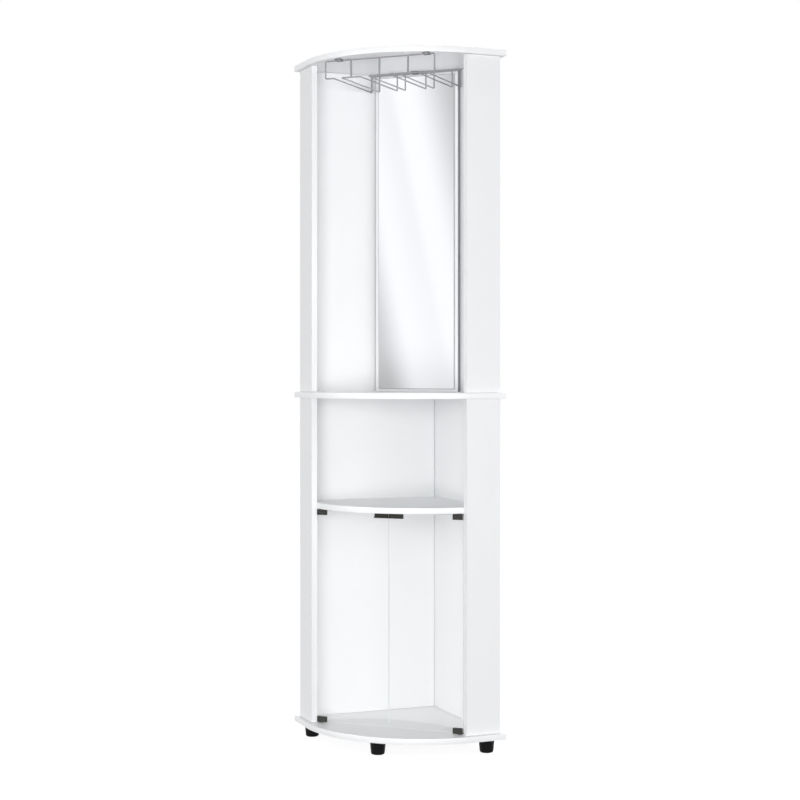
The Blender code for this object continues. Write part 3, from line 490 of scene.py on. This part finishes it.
pane_glass = clear_glass()
pane_edge = ground_edge()
for side in ("left", "right"):
    door_node = side + "_door_glass"
    pane = placed(side + "_pane", glass_sheet(side + "_pane", *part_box(door_node), PANE_ARRIS))
    pane.data.materials.append(pane_glass)
    pane.data.materials.append(pane_edge)
    for face in pane.data.polygons:
        face.material_index = 0 if abs(face.normal.y) > PANE_FLAT else 1
    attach(pane, side + "_door")
    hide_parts(door_node)


# The plastic fittings: hinge clips and their bushes, pulls, the catch and the rack's clips. All
# are moulded in grey or black, with softly rounded edges and finely textured faces.

MOULD_RADIUS = 0.0004
MERGE = 0.00001
ONE_FACE = math.radians(0.5)
ROUNDED_FROM = math.radians(35)


def moulded_plastic(name, light, dark, roughness):
    """Moulded plastic with the fine leather-like grain that a spark-eroded mould leaves."""
    tree, shader, material = new_material(name, {"Roughness": roughness,
                                                 "Specular IOR Level": 0.08})
    # The grain is 0.1 mm wide on the real parts and is drawn at 0.7 mm, so that it shows.
    grained(tree, shader, 1400.0, 3.0, tones=(dark, light), press=(0.25, 0.0001))
    return material


def rounded_copy(node, name, radius, material, body):
    """Copy a node's solid with its flat faces made whole and its edges rounded."""
    shape = bmesh.new()
    shape.from_mesh(nodes[node].data)
    bmesh.ops.remove_doubles(shape, verts=shape.verts, dist=MERGE)
    bmesh.ops.dissolve_limit(shape, angle_limit=ONE_FACE, verts=shape.verts, edges=shape.edges)
    mesh = bpy.data.meshes.new(name)
    shape.to_mesh(mesh)
    shape.free()
    mesh.materials.clear()
    mesh.materials.append(material)
    piece = placed(name, mesh)
    rounding = piece.modifiers.new("rounding", "BEVEL")
    rounding.width = radius
    rounding.segments = 2
    rounding.limit_method = "ANGLE"
    rounding.angle_limit = ROUNDED_FROM
    settled(piece)
    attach(piece, body)
    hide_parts(node)
    return piece


hinge_plastic = moulded_plastic("dark_grey_acetal", "#474744", "#373735", 0.42)
grey_plastic = moulded_plastic("mid_grey_polyamide", "#848487", "#747477", 0.48)
black_plastic = moulded_plastic("black_polypropylene", "#141416", "#0C0C0E", 0.38)

for side in ("left", "right"):
    for level in ("top", "bottom"):
        rounded_copy(f"{side}_door_{level}_clip", f"{side}_{level}_hinge_clip", MOULD_RADIUS,
                     hinge_plastic, side + "_door")
        rounded_copy(f"{side}_{level}_pivot_bush", f"{side}_{level}_bush", MOULD_RADIUS / 2,
                     grey_plastic, "carcase")
    rounded_copy(side + "_door_pull", side + "_pull", MOULD_RADIUS, hinge_plastic,
                 side + "_door")
rounded_copy("magnetic_catch", "catch_body", MOULD_RADIUS, black_plastic,
             "carcase")
for place_name in ("left", "right", "rear"):
    wire_clip = rounded_copy(place_name + "_rack_clip", place_name + "_wire_clip", MOULD_RADIUS,
                             grey_plastic, "carcase")
    wire_clip.visible_glossy = False


# The stemware rack. Steel wire is bent into an outer frame and three tees, spot-welded to a rear
# bar and to three short drops, and powder-coated silver grey.

WIRE = 0.0036
TEE_DROP = 0.0048
REAR_BAR = 0.0050
MIDDLE_TEE = 0.060
SIDE_TEE = 0.052
STEM_SLOT = 0.0235
END_TEE = 0.023
WIRE_BEND = 0.0035
BEND_STEPS = 8
REAR_BAR_END = 0.0022
WELD = 0.0028
WELD_SHARES = (1.0, 0.80, 0.62)
WIRE_SIDES = 16
BEAD_SIDES = 12
BEAD_RINGS = 8

rack_low, rack_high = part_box("glass_rack")
top_z = rack_high.z - WIRE / 2
rear_z = rack_high.z - REAR_BAR / 2
low_z = rack_low.z + WIRE / 2
front_y = rack_low.y + TEE_DROP / 2
rear_y = rack_high.y - REAR_BAR / 2
middle_rail = MIDDLE_TEE / 2
tee_in = middle_rail + STEM_SLOT
tee_out = tee_in + SIDE_TEE
end_rail = tee_out + STEM_SLOT
end_x = end_rail + END_TEE


def powder_coat():
    """Silver-grey powder coat: matt, a little metallic, with the fine peel of a baked powder."""
    tree, shader, material = new_material("silver_powder_coat",
                                          {"Metallic": 0.25, "Roughness": 0.52})
    # The peel is 0.9 mm wide, as on the real wire.
    grained(tree, shader, 1100.0, 2.0, tones=("#8A8A8E", "#98989C"), press=(0.2, 0.0001))
    return material


def rack_tree(material):
    """Geometry Nodes: bend the straight runs, sweep the wire, and add a bead at each weld."""
    tree = bpy.data.node_groups.new("bent_and_welded_wire", "GeometryNodeTree")
    tree.interface.new_socket("Geometry", in_out="INPUT", socket_type="NodeSocketGeometry")
    tree.interface.new_socket("Bend", in_out="INPUT", socket_type="NodeSocketFloat")
    tree.interface.new_socket("Weld", in_out="INPUT", socket_type="NodeSocketFloat")
    tree.interface.new_socket("Geometry", in_out="OUTPUT", socket_type="NodeSocketGeometry")
    given = add_node(tree, "NodeGroupInput")
    runs = add_node(tree, "GeometryNodeMeshToCurve", {"Mesh": given.outputs["Geometry"]})
    bent = add_node(tree, "GeometryNodeFilletCurve",
                    {"Curve": runs.outputs["Curve"], "Radius": given.outputs["Bend"],
                     "Count": BEND_STEPS, "Limit Radius": True}, mode="POLY")
    gauge = add_node(tree, "GeometryNodeInputNamedAttribute", {"Name": "gauge"},
                     data_type="FLOAT")
    section = add_node(tree, "GeometryNodeCurvePrimitiveCircle", {"Resolution": WIRE_SIDES,
                                                                  "Radius": 1.0})
    swept = add_node(tree, "GeometryNodeCurveToMesh",
                     {"Curve": bent.outputs["Curve"], "Profile Curve": section.outputs["Curve"],
                      "Scale": gauge.outputs["Attribute"], "Fill Caps": True})
    spots = add_node(tree, "GeometryNodeInputNamedAttribute", {"Name": "weld"},
                     data_type="BOOLEAN")
    bead = add_node(tree, "GeometryNodeMeshUVSphere",
                    {"Segments": BEAD_SIDES, "Rings": BEAD_RINGS,
                     "Radius": given.outputs["Weld"]})
    beads = add_node(tree, "GeometryNodeInstanceOnPoints",
                     {"Points": given.outputs["Geometry"], "Selection": spots.outputs["Attribute"],
                      "Instance": bead.outputs["Mesh"], "Scale": WELD_SHARES})
    joined = add_node(tree, "GeometryNodeJoinGeometry", {"Geometry": swept.outputs["Mesh"]})
    tree.links.new(beads.outputs["Instances"], joined.inputs["Geometry"])
    real = add_node(tree, "GeometryNodeRealizeInstances", {"Geometry": joined.outputs["Geometry"]})
    coated = add_node(tree, "GeometryNodeSetMaterial", {"Geometry": real.outputs["Geometry"],
                                                        "Material": material})
    add_node(tree, "NodeGroupOutput", {"Geometry": coated.outputs["Geometry"]})
    return tree


def mirrored_run(half):
    """A run and its mirror image, from the left end to the right end."""
    return [(-x, y, z) for x, y, z in half] + half[::-1]


def tee_run(inner, outer):
    """A tee: down at the back, forward, across the front and back again."""
    half = [(rear_y, rear_z), (rear_y, low_z), (front_y, low_z)]
    return [(inner, y, z) for y, z in half] + [(outer, y, z) for y, z in half[::-1]]


rack_runs = [(WIRE, mirrored_run([(end_rail, rear_y, rear_z), (end_rail, rear_y, low_z),
                                  (end_rail, front_y, low_z), (end_x, front_y, low_z),
                                  (end_x, front_y, top_z)]), (0, -1))]
for tee_left, tee_right in ((-tee_out, -tee_in), (-middle_rail, middle_rail), (tee_in, tee_out)):
    drop = (tee_left + tee_right) / 2
    rack_runs.append((WIRE, tee_run(tee_left, tee_right), (0, -1)))
    rack_runs.append((TEE_DROP, [(drop, front_y, low_z), (drop, front_y, top_z)], (0, -1)))
bar_half = end_rail + REAR_BAR_END
rack_runs.append((REAR_BAR, [(-bar_half, rear_y, rear_z), (bar_half, rear_y, rear_z)], ()))

rack_mesh = bpy.data.meshes.new("stemware_rack")
run_points, run_edges, gauges, welds = [], [], [], []
for thickness, run, weld_ends in rack_runs:
    start = len(run_points)
    run_points += run
    run_edges += [(start + i, start + i + 1) for i in range(len(run) - 1)]
    gauges += [thickness / 2] * len(run)
    welded_ones = {i % len(run) for i in weld_ends}
    welds += [i in welded_ones for i in range(len(run))]
rack_mesh.from_pydata(run_points, run_edges, [])
rack_mesh.attributes.new("gauge", "FLOAT", "POINT").data.foreach_set("value", gauges)
rack_mesh.attributes.new("weld", "BOOLEAN", "POINT").data.foreach_set("value", welds)
rack = grown(placed("stemware_rack", rack_mesh), rack_tree(powder_coat()),
             bend=WIRE_BEND, weld=WELD)
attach(rack, "carcase")
rack.visible_glossy = False
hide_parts("glass_rack")


# The feet: black polypropylene cups that taper from a slightly wider rim, under the base board,
# to a sole with a rounded edge. A screw goes up through the well in the sole's middle.

FOOT_SIDES = 64
FOOT_TOP = 0.0211
FOOT_BOTTOM = 0.0178
FOOT_ROUNDING = 0.005
FOOT_RIM = 0.003
FOOT_RIM_STEP = 0.0006
WELL_RADIUS = 0.0055
FOOT_HOLE = 0.0038
WELL_WALL = 0.008
ROUND_STEPS = 8


def turned(name, rings, sides):
    """Turn rings of (radius, height) about the upright axis. A radius may vary with the angle.

    Unless the first radius is 0, the last ring is joined to the first, round an open hole.
    """
    shape = bmesh.new()
    loops = []
    for radius, height in rings:
        if radius == 0:
            loops.append([shape.verts.new((0, 0, height))])
            continue
        loop = []
        for i in range(sides):
            turn = 2 * math.pi * i / sides
            reach = radius(turn) if callable(radius) else radius
            loop.append(shape.verts.new((reach * math.cos(turn), reach * math.sin(turn), height)))
        loops.append(loop)
    if len(loops[0]) > 1:
        loops.append(loops[0])
    for first, second in zip(loops, loops[1:]):
        for i in range(sides):
            j = (i + 1) % sides
            corners = [first[i % len(first)], first[j % len(first)],
                       second[j % len(second)], second[i % len(second)]]
            shape.faces.new([v for k, v in enumerate(corners) if v not in corners[:k]])
    bmesh.ops.recalc_face_normals(shape, faces=shape.faces)
    mesh = bpy.data.meshes.new(name)
    shape.to_mesh(mesh)
    shape.free()
    mesh.shade_smooth()
    mesh.set_sharp_from_angle(angle=FLAT_ANGLE)
    return mesh


def foot_rings(height):
    """Screw hole, well, sole, rounded corner, tapered wall and rim."""
    sole = FOOT_BOTTOM - FOOT_ROUNDING
    rings = [(FOOT_HOLE, height), (FOOT_HOLE, height - WELL_WALL),
             (WELL_RADIUS, height - WELL_WALL), (WELL_RADIUS, 0), (sole, 0)]
    for i in range(1, ROUND_STEPS + 1):
        turn = math.pi / 2 * i / ROUND_STEPS
        rings.append((sole + FOOT_ROUNDING * math.sin(turn),
                      FOOT_ROUNDING * (1 - math.cos(turn))))
    return rings + [(FOOT_TOP - FOOT_RIM_STEP, height - FOOT_RIM),
                    (FOOT_TOP, height - FOOT_RIM + FOOT_RIM_STEP), (FOOT_TOP, height)]


for foot_name in ("left", "right", "front", "rear"):
    foot_node = foot_name + "_foot"
    foot_low, foot_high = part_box(foot_node)
    foot_mesh = turned(foot_name + "_cup_foot", foot_rings(foot_high.z), FOOT_SIDES)
    foot_mesh.transform(Matrix.Translation(((foot_low.x + foot_high.x) / 2,
                                            (foot_low.y + foot_high.y) / 2, 0)))
    foot_mesh.materials.append(black_plastic)
    foot = placed(foot_name + "_cup_foot", foot_mesh)
    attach(foot, "carcase")
    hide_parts(foot_node)


# The screws and magnets. All are bright zinc-plated steel: furniture screws with hexagon sockets
# in the boards' faces, cross-head screws in the feet and clips, and grub screws in the hinges.

SCREW_SIDES = 48
PANEL_HEAD = 0.0048
PANEL_SHANK = 0.0032
PANEL_LENGTH = 0.050
PANEL_THREAD = 0.9
HEX_SOCKET = 0.0022
HEX_DEPTH = 0.0030
HEAD_EDGE = 0.0004


def zinc_plate():
    """Bright zinc plating: bluish white metal with soft passivation clouds."""
    tree, shader, material = new_material("bright_zinc_plating", {"Metallic": 1.0})
    # The clouds are about 3 mm wide, so that a screw's head shows two or three.
    grained(tree, shader, 300.0, 3.0, tones=("#B9BCC0", "#D2D3D0"), sheen=(0.22, 0.40))
    return material


zinc = zinc_plate()


def hexagon(apothem):
    """Radius of a hexagonal socket at each angle."""
    return lambda turn: apothem / math.cos(turn % (math.pi / 3) - math.pi / 6)


def cross(reach, half_width):
    """Radius of a cross recess at each angle: four arms with slanting sides."""
    def radius(turn):
        off = abs((turn + math.pi / 4) % (math.pi / 2) - math.pi / 4)
        return min(reach, half_width / max(math.sin(off), half_width / reach))
    return radius


def screw_tree(material):
    """Geometry Nodes: put a copy of one screw at each point, turned to face up or down."""
    tree = bpy.data.node_groups.new("driven_screws", "GeometryNodeTree")
    tree.interface.new_socket("Geometry", in_out="INPUT", socket_type="NodeSocketGeometry")
    tree.interface.new_socket("Screw", in_out="INPUT", socket_type="NodeSocketObject")
    tree.interface.new_socket("Turn", in_out="INPUT", socket_type="NodeSocketVector")
    tree.interface.new_socket("Geometry", in_out="OUTPUT", socket_type="NodeSocketGeometry")
    given = add_node(tree, "NodeGroupInput")
    screw = add_node(tree, "GeometryNodeObjectInfo", {"Object": given.outputs["Screw"]})
    driven = add_node(tree, "GeometryNodeInstanceOnPoints",
                      {"Points": given.outputs["Geometry"], "Instance": screw.outputs["Geometry"],
                       "Rotation": given.outputs["Turn"]})
    real = add_node(tree, "GeometryNodeRealizeInstances", {"Geometry": driven.outputs["Instances"]})
    plated = add_node(tree, "GeometryNodeSetMaterial", {"Geometry": real.outputs["Geometry"],
                                                        "Material": material})
    add_node(tree, "NodeGroupOutput", {"Geometry": plated.outputs["Geometry"]})
    return tree


driven_screws = screw_tree(zinc)


def screws(name, pattern, turn, replaced, body, top_level):
    """Drive one kind of screw where the given nodes stand, its head at their upper or lower end."""
    points = []
    for node in replaced:
        low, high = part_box(node)
        points.append(((low.x + high.x) / 2, (low.y + high.y) / 2, high.z if top_level else low.z))
    mesh = bpy.data.meshes.new(name)
    mesh.from_pydata(points, [], [])
    piece = grown(placed(name, mesh), driven_screws, screw=pattern, turn=turn)
    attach(piece, body)
    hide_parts(*replaced)
    return piece


def pattern_screw(name, rings):
    """A screw to copy, which isn't shown itself."""
    return bpy.data.objects.new(name, turned(name, rings, SCREW_SIDES))


furniture_screw = pattern_screw("furniture_screw", [
    (0, -HEX_DEPTH), (hexagon(HEX_SOCKET), -HEX_DEPTH), (hexagon(HEX_SOCKET), 0),
    (PANEL_HEAD - HEAD_EDGE, 0), (PANEL_HEAD, -HEAD_EDGE),
    (PANEL_HEAD, -PANEL_HEAD / 2), (PANEL_SHANK, -PANEL_HEAD),
    (PANEL_SHANK, -PANEL_LENGTH * PANEL_THREAD), (0, -PANEL_LENGTH)])
for level, turn_over in (("top", 0.0), ("base", math.pi)):
    screws(level + "_furniture_screws", furniture_screw, (turn_over, 0, 0),
           furniture_screws(level), "carcase", level == "top")

WOOD_HEAD = 0.0038
WOOD_SHANK = 0.0018
WOOD_THREAD = 0.8
FOOT_SCREW = 0.0180
CLIP_SCREW = 0.0134
CROSS_REACH = 0.0021
CROSS_HALF = 0.0005
CROSS_DEPTH = 0.0012
CROSS_TAPER = 0.6
CROSS_TAPER_WIDTH = 0.8

for name, length, places in (("foot", FOOT_SCREW, ("left", "right", "front", "rear")),
                             ("rack_clip", CLIP_SCREW, ("left", "right", "rear"))):
    cross_screw = pattern_screw(name + "_screw", [
        (0, -CROSS_DEPTH),
        (cross(CROSS_REACH * CROSS_TAPER, CROSS_HALF * CROSS_TAPER_WIDTH), -CROSS_DEPTH),
        (cross(CROSS_REACH, CROSS_HALF), 0), (WOOD_HEAD, 0), (WOOD_HEAD, -HEAD_EDGE / 2),
        (WOOD_SHANK, -WOOD_HEAD / 2 - HEAD_EDGE), (WOOD_SHANK, -length * WOOD_THREAD),
        (0, -length)])
    driven = screws(name + "_screws", cross_screw, (math.pi, 0, 0),
                    [f"{place_name}_{name}_screw" for place_name in places], "carcase", False)
    driven.visible_glossy = name == "foot"

for side in ("left", "right"):
    for zinc_node in ("_door_top_set_screw", "_door_bottom_set_screw", "_catch_magnet"):
        nodes[side + zinc_node].data.materials.clear()
        nodes[side + zinc_node].data.materials.append(zinc)


# The studio: a white floor that keeps a soft shadow, and a white surround. Mirror and gloss see
# a tall white card with soft grey ends, as a photographer sets up for a mirror.

FLOOR_SIZE = 30.0
FLOOR_LIFT = 0.90


def seen_directly(tree, ray):
    """Whether a ray comes straight from the camera, or through glass."""
    return add_node(tree, "ShaderNodeMath", {0: ray.outputs["Is Camera Ray"],
                                             1: ray.outputs["Is Transmission Ray"]},
                    operation="MAXIMUM").outputs["Value"]


def studio_floor():
    """White floor. The camera sees it lifted to white, and it still takes the shadow."""
    tree, shader, material = new_material(
        "white_studio_floor", {"Base Color": linear("#98989A"), "Roughness": 0.9,
                               "Specular IOR Level": 0.0, "Emission Color": linear("#FFFFFF")})
    ray = add_node(tree, "ShaderNodeLightPath")
    seen = add_node(tree, "ShaderNodeMath", {0: seen_directly(tree, ray),
                                             1: ray.outputs["Is Glossy Ray"]},
                    operation="MAXIMUM")
    lift = add_node(tree, "ShaderNodeMath", {0: seen.outputs["Value"], 1: FLOOR_LIFT},
                    operation="MULTIPLY")
    tree.links.new(lift.outputs["Value"], shader.inputs["Emission Strength"])
    return material


floor_mesh = bpy.data.meshes.new("studio_floor")
reach = FLOOR_SIZE / 2
floor_mesh.from_pydata([(-reach, -reach, 0), (reach, -reach, 0), (reach, reach, 0),
                        (-reach, reach, 0)], [], [(0, 1, 2, 3)])
floor_mesh.materials.append(studio_floor())
placed("studio_floor", floor_mesh)

# A place on the card is a ray's slope across and up, and an EDGE turns it into how far past a
# slanting line it lies. A GREY is how much white is taken away, and a FADE is where that starts
# and where it is full. The streak is full on its line and starts at its two SIDES.
AMBIENT = 0.455
CARD_WHITE = 1.045
CARD_MIDDLE = -0.41
CARD_FADE = (0.40, 0.12)
UPPER_GREY = 0.47
UPPER_EDGE = (14.263, 3.149, 5.225)
UPPER_FADE = (-0.14, 0.36)
LOWER_GREY = 0.38
LOWER_EDGE = (-44.57, -9.84, -18.28)
LOWER_FADE = (0.0, 1.0)
STREAK_GREY = (0.05, 0.09)
STREAK_HEIGHT = (0.03, 0.18)
STREAK_PLACE = 0.34
STREAK_SIDES = (-0.30, 0.10)
HORIZON_GREY = 0.20
HORIZON_FADE = (0.022, -0.022)
GROUND_FADE = (-0.06, -0.01)
ALL_BUT_SIDEWAYS = -0.0001


def studio_world():
    """White surround for the camera. Mirror and gloss see the card, with its soft grey ends."""
    world = bpy.data.worlds.new("white_studio")
    world.use_nodes = True
    tree = world.node_tree
    place = add_node(tree, "ShaderNodeTexCoord")
    parts = add_node(tree, "ShaderNodeSeparateXYZ", {"Vector": place.outputs["Generated"]})
    # A ray that points sideways or backwards is taken as one that points all but sideways.
    ahead = add_node(tree, "ShaderNodeMath", {0: parts.outputs["Y"], 1: ALL_BUT_SIDEWAYS},
                     operation="MINIMUM")
    forward = add_node(tree, "ShaderNodeMath", {0: ahead.outputs["Value"], 1: -1.0},
                       operation="MULTIPLY")
    across = add_node(tree, "ShaderNodeMath", {0: parts.outputs["X"],
                                               1: forward.outputs["Value"]}, operation="DIVIDE")
    height = add_node(tree, "ShaderNodeMath", {0: parts.outputs["Z"],
                                               1: forward.outputs["Value"]}, operation="DIVIDE")
    spot = add_node(tree, "ShaderNodeCombineXYZ", {"X": across.outputs["Value"],
                                                   "Y": height.outputs["Value"], "Z": 1.0})
    upper = add_node(tree, "ShaderNodeVectorMath", {0: spot.outputs["Vector"], 1: UPPER_EDGE},
                     operation="DOT_PRODUCT")
    lower = add_node(tree, "ShaderNodeVectorMath", {0: spot.outputs["Vector"], 1: LOWER_EDGE},
                     operation="DOT_PRODUCT")
    streak_side = add_node(tree, "ShaderNodeMath", {0: upper.outputs["Value"], 1: STREAK_PLACE},
                           operation="ADD")
    aside = add_node(tree, "ShaderNodeMath", {0: across.outputs["Value"], 1: -CARD_MIDDLE},
                     operation="ADD")
    far_aside = add_node(tree, "ShaderNodeMath", {0: aside.outputs["Value"]},
                         operation="ABSOLUTE")
    shares = {}
    for name, source, (start, full), most in (
            ("upper", upper, UPPER_FADE, UPPER_GREY), ("lower", lower, LOWER_FADE, LOWER_GREY),
            ("streak_left", streak_side, (STREAK_SIDES[0], 0.0), 1.0),
            ("streak_right", streak_side, (STREAK_SIDES[1], 0.0), 1.0),
            ("horizon", height, HORIZON_FADE, HORIZON_GREY),
            ("on_card", far_aside, CARD_FADE, 1.0), ("above_ground", height, GROUND_FADE, 1.0)):
        shares[name] = add_node(
            tree, "ShaderNodeMapRange",
            {"Value": source.outputs["Value"], "From Min": start, "From Max": full,
             "To Min": 0.0, "To Max": most}, interpolation_type="SMOOTHSTEP").outputs["Result"]
    streak_grey = add_node(tree, "ShaderNodeMapRange",
                           {"Value": height.outputs["Value"], "From Min": STREAK_HEIGHT[0],
                            "From Max": STREAK_HEIGHT[1], "To Min": STREAK_GREY[0],
                            "To Max": STREAK_GREY[1]})
    streak_line = add_node(tree, "ShaderNodeMath", {0: shares["streak_left"],
                                                    1: shares["streak_right"]},
                           operation="MULTIPLY")
    streak = add_node(tree, "ShaderNodeMath", {0: streak_line.outputs["Value"],
                                               1: streak_grey.outputs["Result"]},
                      operation="MULTIPLY")
    ends = add_node(tree, "ShaderNodeMath", {0: shares["upper"], 1: shares["lower"]},
                    operation="ADD")
    faint = add_node(tree, "ShaderNodeMath", {0: streak.outputs["Value"], 1: shares["horizon"]},
                     operation="ADD")
    greys = add_node(tree, "ShaderNodeMath", {0: ends.outputs["Value"],
                                              1: faint.outputs["Value"]}, operation="ADD")
    shown = add_node(tree, "ShaderNodeMath", {0: shares["on_card"], 1: shares["above_ground"]},
                     operation="MULTIPLY")
    dark = add_node(tree, "ShaderNodeMath", {0: greys.outputs["Value"],
                                             1: shown.outputs["Value"]}, operation="MULTIPLY")
    card = add_node(tree, "ShaderNodeMath", {0: CARD_WHITE, 1: dark.outputs["Value"]},
                    operation="SUBTRACT")
    ray = add_node(tree, "ShaderNodeLightPath")
    glossy = add_node(tree, "ShaderNodeMix", {0: ray.outputs["Is Glossy Ray"], 2: AMBIENT,
                                              3: card.outputs["Value"]}, data_type="FLOAT")
    strength = add_node(tree, "ShaderNodeMix", {0: seen_directly(tree, ray),
                                                2: glossy.outputs[0], 3: 1.0}, data_type="FLOAT")
    background = tree.nodes["Background"]
    background.inputs["Color"].default_value = linear("#FFFFFF")
    tree.links.new(strength.outputs[0], background.inputs["Strength"])
    return world


bpy.context.scene.world = studio_world()


# The soft lights. Three boxes of white cloth stand in front, and the fourth stands behind and
# above, for the back and the top.

LIGHT_WIDTH = 2.2
LIGHT_AIM = Vector((0, 0, 0.9))


def soft_light(name, place, height, power):
    """Large rectangular soft light aimed at the cabinet's middle."""
    lamp = bpy.data.lights.new(name, "AREA")
    lamp.shape = "RECTANGLE"
    lamp.size = LIGHT_WIDTH
    lamp.size_y = height
    lamp.energy = power
    light = placed(name, lamp)
    light.location = place
    light.rotation_euler = (LIGHT_AIM - Vector(place)).to_track_quat("-Z", "Y").to_euler()


soft_light("front_softbox", (1.17, -4.86, 0.88), 1.7, 118.0)
soft_light("right_softbox", (3.94, -3.08, 0.88), 1.7, 39.0)
soft_light("left_softbox", (-3.35, -3.72, 0.88), 1.7, 43.0)
soft_light("back_softbox", (0, 3.80, 3.60), 2.2, 130.0)


# The camera. It stands level at the photographed spot, a little to the right of the cabinet's
# front and at half its height, and its frame is shifted, so that uprights stay upright.

CAMERA_PLACE = (1.7309, -4.1609, 0.978)
CAMERA_TURN = math.radians(22.8377)
IMAGE_WIDTH_PX = 800
FOCAL_PX = 1692.35
HORIZON_PX = 371.35
SENSOR_WIDTH_MM = 36.0

camera = placed("camera", bpy.data.cameras.new("camera"))
camera.location = CAMERA_PLACE
camera.rotation_euler = (math.pi / 2, 0, CAMERA_TURN)
camera.data.sensor_width = SENSOR_WIDTH_MM
camera.data.lens = SENSOR_WIDTH_MM * FOCAL_PX / IMAGE_WIDTH_PX
camera.data.shift_y = (HORIZON_PX - IMAGE_WIDTH_PX / 2) / IMAGE_WIDTH_PX
bpy.context.scene.camera = camera
bpy.context.scene.view_settings.view_transform = "Standard"
